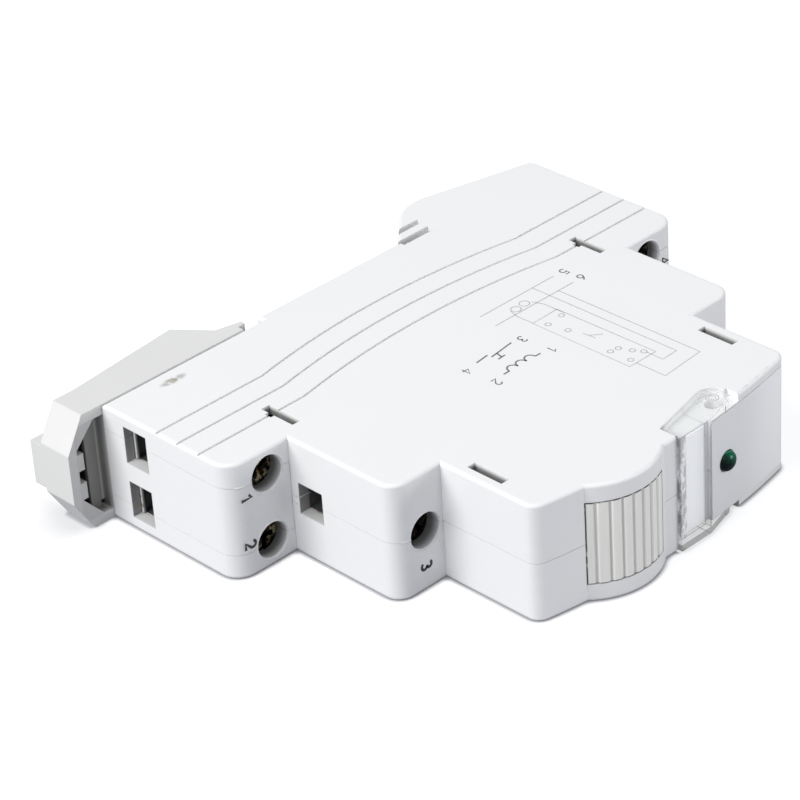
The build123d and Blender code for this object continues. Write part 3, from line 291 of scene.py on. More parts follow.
windows = abs_white.near(out_x, 0.0301, 0.0015) * abs_white.near(at_y, 0.0121, 0.0031)
windows = windows.most(abs_white.near(out_x, 0.02255, 0.0009) * abs_white.near(at_y, -0.0189, 0.0031))
# painted shade in the snap windows, darker towards their bottoms
window_shade = windows * (0.01793 - at_z).ramp(0.0, 0.0007)
wells = well_shade(OUTER_WELL_X, OUTER_WELL_OFF, TERMINAL_Y).most(well_shade(INNER_WELL_X, 0.0, SHOULDER_Y))
holes = hole_shade(0.044, 0.0262, 0.00435, 0.00286).most(hole_shade(0.03335, 0.00375, 0.0, 0.00241))
# painted shade in the wells and wire holes, weaker on the faces that look up
recess_shade = wells.most(0.86 * holes * (1 - 0.7 * abs_white.facing("Z").ramp(0.4, 0.6)))
clean = abs_white.mix(cloud, tone("F1F1F1"), tone("EEEEEF"))
# the painted shade turns the white towards grey-brown
shaded_white = abs_white.mix(recess_shade * 0.82, clean, tone("5E5C59"))
shaded_white = abs_white.mix(window_shade * 0.8, shaded_white, tone("5C5B58"))
abs_white.feed(abs_white.shader, {
    "Base Color": abs_white.mix(grime * 0.8, shaded_white, tone("8E8577")),
    "Roughness": 0.36 + 0.10 * abs_white.noise(0.004)})
abs_white.relief(abs_white.noise(0.00025, 2.0), 0.000006, 0.00014)
abs_white.on(*SHELLS)


# Printing: a pad-printed wiring diagram in pale grey lines, a coil and a switch in darker grey, and
# plain numbers, all drawn as strokes of ink that stand a hair above the plastic.
INK_RISE = 0.012 * MM
ink_pale = Finish("ink_pale", base_color=tone("B9BABA"), roughness=0.55)
ink_pale.feed(ink_pale.shader, {
    "Base Color": ink_pale.mix(ink_pale.noise(0.0012), tone("B4B4B4"), tone("C6C6C6"))})
ink_grey = Finish("ink_grey", roughness=0.5)
ink_grey.feed(ink_grey.shader, {
    "Base Color": ink_grey.mix(ink_grey.noise(0.0009), tone("6D6B66"), tone("86847F"))})
ink_dark = Finish("ink_dark", roughness=0.5)
ink_dark.feed(ink_dark.shader, {
    "Base Color": ink_dark.mix(ink_dark.noise(0.0009), tone("2C2C2D"), tone("3E3D3B"))})


def link(tree, source, target, out=0, into=0):
    tree.links.new(source.outputs[out], target.inputs[into])


def tree_inputs(name, sizes):
    """A Geometry Nodes tree with a geometry input, named size inputs and a material input."""
    tree = bpy.data.node_groups.new(name, "GeometryNodeTree")
    tree.interface.new_socket("Geometry", in_out="INPUT", socket_type="NodeSocketGeometry")
    for label, kind in sizes.items():
        tree.interface.new_socket(label, in_out="INPUT", socket_type=kind)
    tree.interface.new_socket("Material", in_out="INPUT", socket_type="NodeSocketMaterial")
    tree.interface.new_socket("Geometry", in_out="OUTPUT", socket_type="NodeSocketGeometry")
    return tree, tree.nodes.new("NodeGroupInput"), tree.nodes.new("NodeGroupOutput")


def tree_end(tree, given, made, last):
    """Ends a tree in Realize Instances and Set Material."""
    real = tree.nodes.new("GeometryNodeRealizeInstances")
    coated = tree.nodes.new("GeometryNodeSetMaterial")
    link(tree, last, real)
    link(tree, real, coated)
    tree.links.new(given.outputs["Material"], coated.inputs["Material"])
    link(tree, coated, made)


def grown(name, mesh, tree, sizes, finish, body, smooth=None):
    """Runs a tree on a mesh and keeps the result as one plain mesh that rides on a body."""
    seed = bpy.data.objects.new(name + "_seed", mesh)
    scene.collection.objects.link(seed)
    modifier = seed.modifiers.new("shape", "NODES")
    modifier.node_group = tree
    sockets = {item.name: item.identifier for item in tree.interface.items_tree if item.in_out == "INPUT"}
    for label, value in {**sizes, "Material": finish.material}.items():
        modifier[sockets[label]] = value
    ready = seed.evaluated_get(bpy.context.evaluated_depsgraph_get())
    piece = bpy.data.objects.new(name, bpy.data.meshes.new_from_object(ready))
    bpy.data.objects.remove(seed)
    return settle(piece, finish, body, smooth)


def settle(piece, finish, body, smooth=None):
    """Puts a finished mesh in the scene, on its body."""
    piece.data.name = piece.name
    piece.data.materials.clear()
    piece.data.materials.append(finish.material)
    if smooth is not None:
        piece.data.shade_smooth()
        piece.data.set_sharp_from_angle(angle=math.radians(smooth))
    scene.collection.objects.link(piece)
    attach(piece, body)
    return piece


def polylines(name, runs):
    """A mesh of edges only, from runs of points in millimetres."""
    points, edges = [], []
    for run in runs:
        first = len(points)
        points += [(x * MM, y * MM, z * MM) for x, y, z in run]
        edges += [(first + i, first + i + 1) for i in range(len(run) - 1)]
    mesh = bpy.data.meshes.new(name)
    mesh.from_pydata(points, edges, [])
    return mesh


def ring(x, y, z, radius, count=20):
    """Points of a level circle."""
    angles = [2 * math.pi * i / count for i in range(count + 1)]
    return [(x + radius * math.cos(a), y + radius * math.sin(a), z) for a in angles]


stroke, given, made = tree_inputs("stroke", {"Width": "NodeSocketFloat", "Height": "NodeSocketFloat",
                                             "Turn": "NodeSocketRotation"})
lines = stroke.nodes.new("GeometryNodeMeshToCurve")
level_up = stroke.nodes.new("GeometryNodeSetCurveNormal")
level_up.mode = "Z_UP"
section = stroke.nodes.new("GeometryNodeCurvePrimitiveQuadrilateral")
swept = stroke.nodes.new("GeometryNodeCurveToMesh")
swept.inputs["Fill Caps"].default_value = True
link(stroke, given, lines)
link(stroke, lines, level_up)
stroke.links.new(given.outputs["Width"], section.inputs["Width"])
stroke.links.new(given.outputs["Height"], section.inputs["Height"])
facing = stroke.nodes.new("GeometryNodeTransform")
link(stroke, level_up, swept)
link(stroke, section, swept, 0, 1)
link(stroke, swept, facing)
stroke.links.new(given.outputs["Turn"], facing.inputs["Rotation"])
tree_end(stroke, given, made, facing)

TOP = 18.0
DIAGRAM_Z = TOP + INK_RISE / MM
wires = [
    [(5.4, 9.65), (20.3, 9.65)], [(5.0, 6.3), (20.7, 6.3)],
    [(15.9, 9.65), (15.9, -17.2), (13.0, -17.3), (13.0, -14.4)],
    [(17.7, 6.3), (17.7, -19.8), (10.0, -20.4), (10.0, -15.2)],
    [(13.75, 2.9), (13.9, -15.2), (8.7, -15.2), (8.75, 2.8), (13.75, 2.9)],
    [(13.0, 7.0), (13.65, 5.2), (13.65, 1.4)], [(9.2, 7.4), (8.75, 5.8), (8.8, 2.8)],
    [(11.2, -4.3), (11.35, -6.5)], [(11.35, -5.4), (12.8, -6.6)]]
wires = [[(x, y, DIAGRAM_Z) for x, y in run] for run in wires]
wires += [ring(x, y, DIAGRAM_Z, 0.42) for x, y in (
    (9.9, 1.0), (12.9, 1.25), (10.5, -2.2), (10.0, -10.5), (11.3, -10.75), (12.1, -12.6), (12.9, -13.95),
    (10.1, -14.1))]
wires += [ring(12.0, 7.5, DIAGRAM_Z, 0.75), ring(10.1, 7.3, DIAGRAM_Z, 0.75)]
grown("wiring_diagram", polylines("wires", wires), stroke,
      {"Width": 0.14 * MM, "Height": 0.02 * MM}, ink_pale, "housing")

coil = [(3.6, -3.5), (2.6, -3.5)]
for turn in range(3):
    centre = 1.75 - 1.7 * turn
    coil += [(centre + 0.85 * math.cos(a), -3.5 + 1.0 * math.sin(a))
             for a in (math.radians(15 * k) for k in range(13))]
coil += [(-2.6, -3.5), (-3.6, -3.5)]
marks = [coil, [(3.1, 1.5), (-1.4, 0.9)], [(-1.4, 1.7), (-3.8, 1.4)], [(-0.2, 1.1), (-0.5, -0.1)],
         [(-1.2, -0.2), (0.2, -0.1)]]
grown("coil_and_switch", polylines("marks", [[(x, y, DIAGRAM_Z) for x, y in run] for run in marks]), stroke,
      {"Width": 0.24 * MM, "Height": 0.02 * MM}, ink_grey, "housing")


def bow(x, y, across, along, start, sweep, count=14):
    """Points of an elliptic arc, from the angle start over the angle sweep."""
    return [(x + across * math.cos(a), y + along * math.sin(a))
            for a in (math.radians(start + sweep * i / count) for i in range(count + 1))]


# plain figures as pen strokes, in a cell of height 1 about its centre
FIGURES = {
    "1": [[(-0.22, 0.22), (0.08, 0.5), (0.08, -0.5)]],
    "2": [bow(0, 0.2, 0.28, 0.3, 165, -205) + [(-0.28, -0.5), (0.3, -0.5)]],
    "3": [bow(0, 0.26, 0.25, 0.24, 150, -240), bow(0, -0.23, 0.29, 0.27, 90, -240)],
    "4": [[(0.14, -0.5), (0.14, 0.5), (-0.32, -0.2), (0.34, -0.2)]],
    "5": [[(0.27, 0.5), (-0.22, 0.5), (-0.25, 0.02)] + bow(-0.01, -0.17, 0.3, 0.32, 130, -280)],
    "6": [[(0.2, 0.5), (-0.14, 0.16)] + bow(0, -0.19, 0.29, 0.31, 155, -360)],
}


def figure(number, height, x, y, z, turn=1):
    """The strokes of one number about a point; turn is -1 when it stands on its head."""
    return [[(x + turn * height * u, y + turn * height * v, z) for u, v in run] for run in FIGURES[number]]


# the numbers on the fronts are drawn level and then turned upright: they read from below to above
upright = Matrix(((0, 1, 0), (0, 0, -1), (-1, 0, 0))).to_euler()
front_figures = []
for count, (x, y, z) in enumerate([(41.2, TERMINAL_Y, 12.25), (41.25, TERMINAL_Y, 5.0),
                                   (28.2, SHOULDER_Y, 3.7)]):
    front_figures += figure(str(count + 1), 1.75, -z, -x, -y + INK_RISE / MM)
    front_figures += figure(str(count + 4), 1.75, -z, x, -y + INK_RISE / MM)
grown("terminal_numbers", polylines("figures", front_figures), stroke,
      {"Width": 0.42 * MM, "Height": 0.02 * MM, "Turn": upright}, ink_dark, "housing")
top_figures = []
for number, x, y in (("1", 5.35, -4.0), ("2", -5.6, -4.2), ("3", 4.8, 1.0), ("4", -6.2, 0.85),
                     ("5", 22.2, 9.4), ("6", 22.6, 6.4)):
    top_figures += figure(number, 1.5, x, y, DIAGRAM_Z, -1)
grown("diagram_numbers", polylines("small_figures", top_figures), stroke,
      {"Width": 0.2 * MM, "Height": 0.02 * MM}, ink_grey, "housing")

# threads of moulding flash: at the near inner wire hole, where the halves meet, and where the seams
# turn the corners of the terminal block and of the shoulder
END_CORNER, SHOULDER_CORNER = (-41.0, 10.4, 3.0), (-30.85, -9.8, 2.5)


def corner_run(corner, start, z, tail_x, tail_y):
    """A seam's run round an upright corner from the angle start on, and on to a tail on the front."""
    x, y, radius = corner
    turn_points = bow(x, y, radius, radius, start, 270 - start, 6)
    return [(px, py, z) for px, py in turn_points + [(tail_x, tail_y)]]


flash = [[(-33.4, 7.3, 8.35), (-33.42, 6.9, 8.1), (-33.4, 6.45, 7.95)],
         [(-33.42, 6.05, 9.0), (-33.2, 5.96, 9.05), (-31.4, 5.97, 8.97)],
         corner_run(END_CORNER, 235, 14.25, -40.1, TERMINAL_Y),
         corner_run(SHOULDER_CORNER, 240, 9.0, -30.7, SHOULDER_Y),
         [(-25.3, SHOULDER_Y, 8.95), (-25.05, SHOULDER_Y, 9.1), (-24.9, SHOULDER_Y, 9.0)]]
grown("mould_flash", polylines("flash", flash), stroke, {"Width": 0.15 * MM, "Height": 0.15 * MM}, abs_white,
      "housing")


# The terminals: in each well, with a raised rim at its mouth, a plated brass screw with a slot and a
# cross raises a bent steel cage round a brass bar. The screws have a rolled thread, and the outer
# cages have a folded lip that shows in the wire holes.
brass = Finish("screw_brass", metallic=1.0)
# the screws are near black with tan patches as painted glints; on the two switch screws in the shoulder wells
# the glints are kept faint, as painted shade
outer_screws = (abs(brass.axis("X")) - 0.033).ramp(0.0, 0.0001)
painted_glints = brass.noise(0.0009, 3.0).ramp(0.5, 0.66) * (0.15 + 0.85 * outer_screws)
brass.feed(brass.shader, {
    "Base Color": brass.mix(painted_glints, tone("241D17"), tone("B5A585")),
    "Roughness": 0.14 + 0.25 * brass.noise(0.0006)})
brass.relief(brass.noise(0.0002), 0.000004, 0.00008)
screw, given, made = tree_inputs("terminal_screw", {
    "Head radius": "NodeSocketFloat", "Head height": "NodeSocketFloat", "Shaft radius": "NodeSocketFloat",
    "Shaft length": "NodeSocketFloat", "Thread depth": "NodeSocketFloat", "Thread pitch": "NodeSocketFloat",
    "Slot width": "NodeSocketFloat", "Slot depth": "NodeSocketFloat", "Turn": "NodeSocketRotation",
    "Seat": "NodeSocketVector"})


def made_node(tree, kind, settings=None, **sockets):
    """A node of a tree. A socket's value may be a number or another node's output."""
    node = tree.nodes.new(kind)
    for key, value in (settings or {}).items():
        setattr(node, key, value)
    for key, value in sockets.items():
        target = node.inputs[key.replace("_", " ")]
        if isinstance(value, bpy.types.NodeSocket):
            tree.links.new(value, target)
        else:
            target.default_value = value
    return node


def worked(tree, operation, first, second):
    """The outcome of a sum in a tree."""
    node = tree.nodes.new("ShaderNodeMath")
    node.operation = operation
    for i, value in enumerate((first, second)):
        if isinstance(value, bpy.types.NodeSocket):
            tree.links.new(value, node.inputs[i])
        else:
            node.inputs[i].default_value = value
    return node.outputs[0]


def vector(tree, x=0.0, y=0.0, z=0.0):
    """A vector in a tree, from numbers or outputs."""
    return made_node(tree, "ShaderNodeCombineXYZ", None, X=x, Y=y, Z=z).outputs[0]


size = given.outputs
BEVEL_SHARE = 0.12
chamfer = worked(screw, "MULTIPLY", size["Head height"], BEVEL_SHARE)
crown = made_node(screw, "GeometryNodeMeshCone", {"fill_type": "NGON"}, Vertices=48, Depth=chamfer,
                  Radius_Bottom=size["Head radius"],
                  Radius_Top=worked(screw, "SUBTRACT", size["Head radius"], chamfer))
crown_up = made_node(screw, "GeometryNodeTransform", None, Geometry=crown.outputs[0],
                     Translation=vector(screw, z=worked(screw, "MULTIPLY", chamfer, -1.0)))
skirt_height = worked(screw, "SUBTRACT", size["Head height"], chamfer)
skirt = made_node(screw, "GeometryNodeMeshCylinder", None, Vertices=48, Radius=size["Head radius"],
                  Depth=skirt_height)
skirt_down = made_node(screw, "GeometryNodeTransform", None, Geometry=skirt.outputs[0], Translation=vector(
    screw, z=worked(screw, "SUBTRACT", worked(screw, "MULTIPLY", chamfer, -1.0),
                    worked(screw, "MULTIPLY", skirt_height, 0.5))))
head = made_node(screw, "GeometryNodeMeshBoolean", {"operation": "UNION", "solver": "EXACT"})
link(screw, crown_up, head, 0, 1)
link(screw, skirt_down, head, 0, 1)
past_head = worked(screw, "MULTIPLY", size["Head radius"], 3.0)
deep = worked(screw, "MULTIPLY", size["Slot depth"], 2.0)
slot_cut = made_node(screw, "GeometryNodeMeshCube", None,
                     Size=vector(screw, past_head, size["Slot width"], deep))
cross_cut = made_node(screw, "GeometryNodeMeshCube", None, Size=vector(
    screw, size["Slot width"], worked(screw, "MULTIPLY", size["Head radius"], 1.3),
    worked(screw, "MULTIPLY", deep, 1.2)))
cut_head = made_node(screw, "GeometryNodeMeshBoolean", {"operation": "DIFFERENCE", "solver": "EXACT"})
link(screw, head, cut_head, 0, 0)
link(screw, slot_cut, cut_head, 0, 1)
link(screw, cross_cut, cut_head, 0, 1)
root = worked(screw, "SUBTRACT", size["Shaft radius"], size["Thread depth"])
core = made_node(screw, "GeometryNodeMeshCylinder", None, Vertices=32, Radius=root,
                 Depth=size["Shaft length"])
core_down = made_node(screw, "GeometryNodeTransform", None, Geometry=core.outputs[0], Translation=vector(
    screw, z=worked(screw, "SUBTRACT", worked(screw, "MULTIPLY", size["Head height"], -1.0),
                    worked(screw, "MULTIPLY", size["Shaft length"], 0.5))))
turns = worked(screw, "DIVIDE", size["Shaft length"], size["Thread pitch"])
helix = made_node(screw, "GeometryNodeCurveSpiral", None, Resolution=24, Rotations=turns,
                  Height=size["Shaft length"], Start_Radius=root, End_Radius=root)
crest = made_node(screw, "GeometryNodeCurvePrimitiveCircle", None, Resolution=4, Radius=size["Thread depth"])
thread = made_node(screw, "GeometryNodeCurveToMesh", None, Curve=helix.outputs[0],
                   Profile_Curve=crest.outputs[0], Fill_Caps=True)
screw_length = worked(screw, "ADD", size["Head height"], size["Shaft length"])
thread_down = made_node(screw, "GeometryNodeTransform", None, Geometry=thread.outputs[0], Translation=vector(
    screw, z=worked(screw, "MULTIPLY", screw_length, -1.0)))
whole = screw.nodes.new("GeometryNodeJoinGeometry")
for part in (cut_head, core_down, thread_down):
    link(screw, part, whole)
turned = made_node(screw, "GeometryNodeTransform", None, Geometry=whole.outputs[0], Rotation=size["Turn"])
laid = made_node(screw, "GeometryNodeTransform", None, Geometry=turned.outputs[0],
                 Rotation=(math.radians(90), 0, 0), Translation=size["Seat"])
tree_end(screw, given, made, laid)
SCREW = {"Head radius": 2.46 * MM, "Head height": 2.0 * MM, "Shaft radius": 1.74 * MM,
         "Thread depth": 0.3 * MM, "Thread pitch": 0.5 * MM, "Slot width": 0.7 * MM, "Slot depth": 0.9 * MM}
FIRST_TURN, NEXT_TURN = 35, 47
TERMINALS = ("load_1", "load_2", "supply_1", "supply_2", "switch_near", "switch_far")
for count, terminal in enumerate(TERMINALS):
    low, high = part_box("screw_" + terminal)
    seat = ((low.x + high.x) / 2, low.y, (low.z + high.z) / 2)
    length = high.y - low.y - SCREW["Head height"]
    turn = (0, 0, math.radians(FIRST_TURN + NEXT_TURN * count))
    piece = grown("screw_" + terminal + "_turned", bpy.data.meshes.new("empty"), screw,
                  {**SCREW, "Shaft length": length, "Turn": turn, "Seat": seat},
                  brass, "screw_" + terminal, 32)
    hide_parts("screw_" + terminal)

rims, given, made = tree_inputs("well_rims", {"Radius": "NodeSocketFloat", "Wire radius": "NodeSocketFloat",
                                              "Turn": "NodeSocketRotation"})
mouth = made_node(rims, "GeometryNodeCurvePrimitiveCircle", None, Resolution=64,
                  Radius=given.outputs["Radius"])
bead = made_node(rims, "GeometryNodeCurvePrimitiveCircle", None, Resolution=10,
                 Radius=given.outputs["Wire radius"])
hoop = made_node(rims, "GeometryNodeCurveToMesh", None, Curve=mouth.outputs[0],
                 Profile_Curve=bead.outputs[0])
around = made_node(rims, "GeometryNodeInstanceOnPoints", None, Instance=hoop.outputs[0],
                   Rotation=given.outputs["Turn"])
link(rims, given, around)
tree_end(rims, given, made, around)
centres = bpy.data.meshes.new("well_centres")
centres.from_pydata([(side * x * MM, y * MM, MID_Z + z * MM) for side in (-1, 1) for x, y, z in (
    (OUTER_WELL_X, TERMINAL_Y, OUTER_WELL_OFF), (OUTER_WELL_X, TERMINAL_Y, -OUTER_WELL_OFF),
    (INNER_WELL_X, SHOULDER_Y, 0.0))], [], [])
grown("well_rims", centres, rims,
      {"Radius": 2.84 * MM, "Wire radius": 0.1 * MM, "Turn": (math.radians(90), 0, 0)},
      abs_white, "housing", 60)

cage_zinc = Finish("cage_zinc")
# the cut end faces of the cages are painted near white and not metallic as a painted highlight, with tan
# patches that are the bare cut's own colour
cage_end = (abs(cage_zinc.facing("X")) - 0.8).ramp(0.0, 0.1)
cage_dull = cage_zinc.mix(cage_zinc.noise(0.0016, 3.0), tone("787B7E"), tone("9C9D9D"))
cut_end_highlight = cage_zinc.mix(cage_zinc.noise(0.0011, 2.0).ramp(0.5, 0.62), tone("F0EFED"), tone("B9A184"))
cage_zinc.feed(cage_zinc.shader, {
    "Base Color": cage_zinc.mix(cage_end, cage_dull, cut_end_highlight),
    "Metallic": 0.75 - 0.75 * cage_end,
    "Roughness": 0.3 + 0.2 * cage_zinc.noise(0.0008)})
cage_zinc.relief(cage_zinc.noise(0.0003), 0.000004, 0.00012)
cage_zinc.on(*["cage_" + terminal for terminal in TERMINALS])
LIP, LIP_REACH, HOLE_WALL_Y = 0.55, 2.7, 28.42
for terminal in TERMINALS[:4]:
    low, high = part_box("cage_" + terminal)
    lip_x = low.x / MM - LIP / 4 if low.x < 0 else high.x / MM + LIP / 4
    centre_z = (low.z + high.z) / 2 / MM
    lip = [(lip_x, HOLE_WALL_Y - LIP / 2, centre_z + up) for up in (-LIP_REACH, LIP_REACH)]
    grown("cage_lip_" + terminal, polylines("lip", [lip]), stroke, {"Width": LIP * MM, "Height": LIP * MM},
          cage_zinc, "cage_" + terminal)
bar = Finish("bar_brass", metallic=1.0)
bar.feed(bar.shader, {
    "Base Color": bar.mix(bar.noise(0.002, 3.0), tone("B79A5B"), tone("D8C489")),
    "Roughness": 0.25 + 0.18 * bar.noise(0.0007)})
bar.relief(bar.noise(0.00025), 0.000004, 0.0001)
bar.on(*["bar_" + terminal for terminal in TERMINALS])


# The rail clip: a slide moulded in light grey plastic, with a folded leaf spring of stainless strip
# behind it that pushes its claw under the rail.
clip_grey = Finish("clip_grey", specular_ior_level=0.45)
clip_x, clip_y, clip_z = (clip_grey.axis(name) for name in "XYZ")
HOLLOW_X, HOLLOW_Y, LIP_Y, VOID_Y, PANEL_EDGE_X = -0.0465, 0.0349, 0.0328, 0.03445, -0.0444
# painted shade in the hollow of the clip: grey that deepens inwards, a lighter painted line at the panel's
# edge, and near black painted shade where it opens into the void
pocket = clip_grey.near(clip_x, HOLLOW_X, 0.00265) * clip_grey.near(clip_z, MID_Z, 0.00755)
pocket = pocket * clip_grey.near(clip_y, HOLLOW_Y, 0.0023)
outer_slants = (0.0 - clip_grey.facing("X")).ramp(0.2, 0.4) * abs(clip_grey.facing("Z")).ramp(0.2, 0.4)
pocket = pocket * (1 - outer_slants)
clean_clip = clip_grey.mix(clip_grey.noise(0.012, 3.0), tone("E0E0DE"), tone("DADAD8"))
pocket_shade = clip_grey.mix(pocket * (clip_y - LIP_Y).ramp(-0.0006, 0.0012), clean_clip, tone("8F8E8B"))
pocket_shade = clip_grey.mix(pocket * clip_grey.near(clip_x, PANEL_EDGE_X, 0.00012), pocket_shade, tone("BBB9B3"))
clip_grey.feed(clip_grey.shader, {
    "Base Color": clip_grey.mix(pocket * (clip_y - VOID_Y).ramp(0.0, 0.0008), pocket_shade, tone("2E2D2C")),
    "Roughness": 0.38 + 0.1 * clip_grey.noise(0.003)})
clip_grey.relief(clip_grey.noise(0.00025, 2.0), 0.000006, 0.0002)
clip_grey.on("rail_clip")
spring = Finish("spring_steel", metallic=1.0, base_color=tone("BFC1C2"))
along = spring.node("ShaderNodeMapping", {}, {"Vector": spring.place, "Scale": (1, 1, 0.05)})
spring.feed(spring.shader, {"Roughness": 0.22 + 0.2 * spring.noise(0.0001, 2.0, 0.5, along)})
spring.relief(spring.noise(0.0001, 2.0, 0.5, along), 0.000002, 0.00005)
spring.on("clip_spring")


# The ribbed button in the front bulge: cream polypropylene, moulded with flutes along Z, in front of
# a plunger and a tact switch on the board. Its flutes are darkened with painted shade, a band beside
# each is lightened as a painted highlight, and the crevice round it is darkened in dashes by painted shade.
cream = Finish("button_cream", specular_ior_level=0.4)
drawn = cream.node("ShaderNodeMapping", {}, {"Vector": cream.place, "Scale": (1, 1, 0.06)})
AXIS_X, AXIS_Y, RADIUS, BUTTON_X = -0.00915, -0.0231, 0.01049, -0.0107
HALF_WIDTH, HALF_HEIGHT, FLUTE_START, FLUTE_PITCH = 0.00597, 0.0061, 0.00685, 0.00166
from_axis_x, from_axis_y = cream.axis("X") - AXIS_X, cream.axis("Y") - AXIS_Y
# painted shade in the flutes
flute_shade = (RADIUS - (from_axis_x * from_axis_x + from_axis_y * from_axis_y).root()).ramp(0.00008, 0.00018)
across = ((from_axis_x + FLUTE_START) / FLUTE_PITCH).fraction()
# painted shade in the crevice round the button's edges, broken into dashes
ends_gap = (abs(cream.axis("Z") - MID_Z) - HALF_HEIGHT).ramp(0.0, 0.00008)
sides_gap = (abs(cream.axis("X") - BUTTON_X) - HALF_WIDTH).ramp(0.0, 0.00008)
crevice_shade = ends_gap.most(sides_gap) * cream.noise(0.0011).ramp(0.25, 0.5)
ribs = cream.mix(cream.noise(0.0005, 3.0, 0.6, drawn), tone("EEEDE7"), tone("F8F7F2"))
# a painted highlight on a band beside each flute
rib_highlight = (across.ramp(0.08, 0.16) * (1 - across.ramp(0.2, 0.4))) * 0.8
painted_ribs = cream.mix(flute_shade * 0.6, cream.mix(rib_highlight, ribs, tone("FFFFFD")), tone("A6A39B"))
cream.feed(cream.shader, {
    "Base Color": cream.mix(crevice_shade * 0.85, painted_ribs, tone("2F2D2A")),
    "Roughness": 0.34 + 0.16 * cream.noise(0.0006, 2.0, 0.5, drawn)})
cream.relief(3.6 * across * (1 - across) + 0.1 * cream.noise(0.00025, 2.0, 0.5, drawn), 0.00006, 0.00006)
cream.on("ribbed_button")
plunger = Finish("plunger_white", base_color=tone("E8E8E4"))
plunger.feed(plunger.shader, {"Roughness": 0.35 + 0.15 * plunger.noise(0.001)})
plunger.relief(plunger.noise(0.0003), 0.000004, 0.00008)
plunger.on("tact_plunger")
black = Finish("switch_black")
black.feed(black.shader, {
    "Base Color": black.mix(black.noise(0.002), tone("17181A"), tone("222326")),
    "Roughness": 0.42 + 0.15 * black.noise(0.0008)})
black.relief(black.noise(0.0002), 0.000006, 0.0001)
black.on("tact_switch")


# The label flap: clear polycarbonate that hooks over a paper label and swings on two pins in the side
# faces. Grey and white are painted at its edges, on its foot and along a ridge as painted shade and
# reflection where the clear plastic would refract, the tops of its arms are painted paler as a painted
# sheen, and it shows a faint ring over the pin.
FLAP_LEFT_X, RIDGE_X, FOOT_TOP_Z, ARM_Z = 0.0007, 0.0055, 0.0011, 0.017
clear = Finish("clear_flap", roughness=0.06, specular_ior_level=0.7)
rounded = clear.node("ShaderNodeBevel", {"samples": 8}, {"Radius": 0.00022})
flat = clear.node("ShaderNodeNewGeometry", {}, {}, "True Normal")
rim = 1 - clear.node("ShaderNodeVectorMath", {"operation": "DOT_PRODUCT"}, {0: rounded, 1: flat}, "Value")
rim = rim.ramp(0.01, 0.22)
flap_x, flap_z = clear.axis("X"), clear.axis("Z")
arm_top = clear.facing("Z").ramp(0.85, 0.95) * (flap_z - ARM_Z).ramp(0.0, 0.0001)
foot = (1 - (flap_z - FOOT_TOP_Z).ramp(0.0, 0.0001)) * (1 - abs(clear.facing("Z")).ramp(0.85, 0.95))
left_edge = (FLAP_LEFT_X - flap_x).ramp(0.0, 0.0001) * (1 - arm_top)
along_edge = clear.node("ShaderNodeMapping", {}, {"Vector": clear.place, "Scale": (1, 1, 0.5)})
streaky = clear.noise(0.0016, 3.0, 0.7, along_edge)
flap_ridge = clear.near(flap_x, RIDGE_X, 0.00006) * (1 - arm_top)
# painted shade and reflection in place of refraction: grey at the edges and along the ridge, dark and white
# streaks on the left edge, grey on the foot, and the arm tops paler as a painted sheen
painted_edge_light = clear.mix(rim.most(flap_ridge), tone("FBFCFC"), tone("8F9494"))
painted_edge_light = clear.mix(left_edge, painted_edge_light, clear.mix(streaky.ramp(0.46, 0.56), tone("737472"), tone("FFFFFF")))
clear.feed(clear.shader, {
    "Base Color": clear.mix(foot, clear.mix(arm_top * (1 - rim), painted_edge_light, tone("E6E8E8")), tone("9B9B97")),
    "Alpha": (0.025 + 0.6 * rim).most(0.45 * arm_top).most(0.5 * left_edge).most(0.65 * foot).most(
        0.45 * flap_ridge)})
clear.relief(clear.noise(0.003, 2.0), 0.000004, 0.0001)
clear.on("label_flap")
PIVOT = (9.86, -28.7, 17.9 + INK_RISE / MM)
DOTS = [(8.07, -28.21), (7.44, -28.15), (9.13, -30.75), (9.5, -30.75)]
pin_marks = [ring(*PIVOT, 0.85), ring(*PIVOT, 0.5, 10)] + [ring(x, y, PIVOT[2], 0.08, 6) for x, y in DOTS]
pin_marks += [[(11.9, -29.3, PIVOT[2]), (11.7, -30.4, PIVOT[2])]]
grown("pivot_marks", polylines("pivot_marks_lines", pin_marks), stroke,
      {"Width": 0.09 * MM, "Height": 0.01 * MM}, ink_pale, "flap")
# the label paper glows faintly from its emission, painted light that makes up for the shade the flap casts on
# it
card = Finish("label_paper", emission_color=(0.94, 0.96, 1.0, 1), emission_strength=0.12)
card.feed(card.shader, {
    "Base Color": card.mix(card.noise(0.0008, 4.0), tone("F8FAFC"), tone("FCFCFD")),
    "Roughness": 0.55 + 0.1 * card.noise(0.001)})
card.relief(card.noise(0.00015), 0.000003)
card.on("label_strip")


# The front foil and the status light: a satin polyester foil glued into a shallow recess, with a
# green light through it whose two leads go to the board.
foil = Finish("front_foil", specular_ior_level=0.5)
# the foil is painted darker towards its left end, as painted shade
foil.feed(foil.shader, {
    "Base Color": foil.mix(foil.axis("X").ramp(0.012, 0.023) + 0.06 * foil.noise(0.004, 3.0), tone("EAEBEC"),
                           tone("FDFDFE")),
    "Roughness": 0.3 + 0.1 * foil.noise(0.0008)})
foil.relief(foil.noise(0.00012, 2.0), 0.000004, 0.00006)
foil.on("front_foil")
lens_green = Finish("led_lens", roughness=0.08, specular_ior_level=0.2)
LED_X = 0.00995
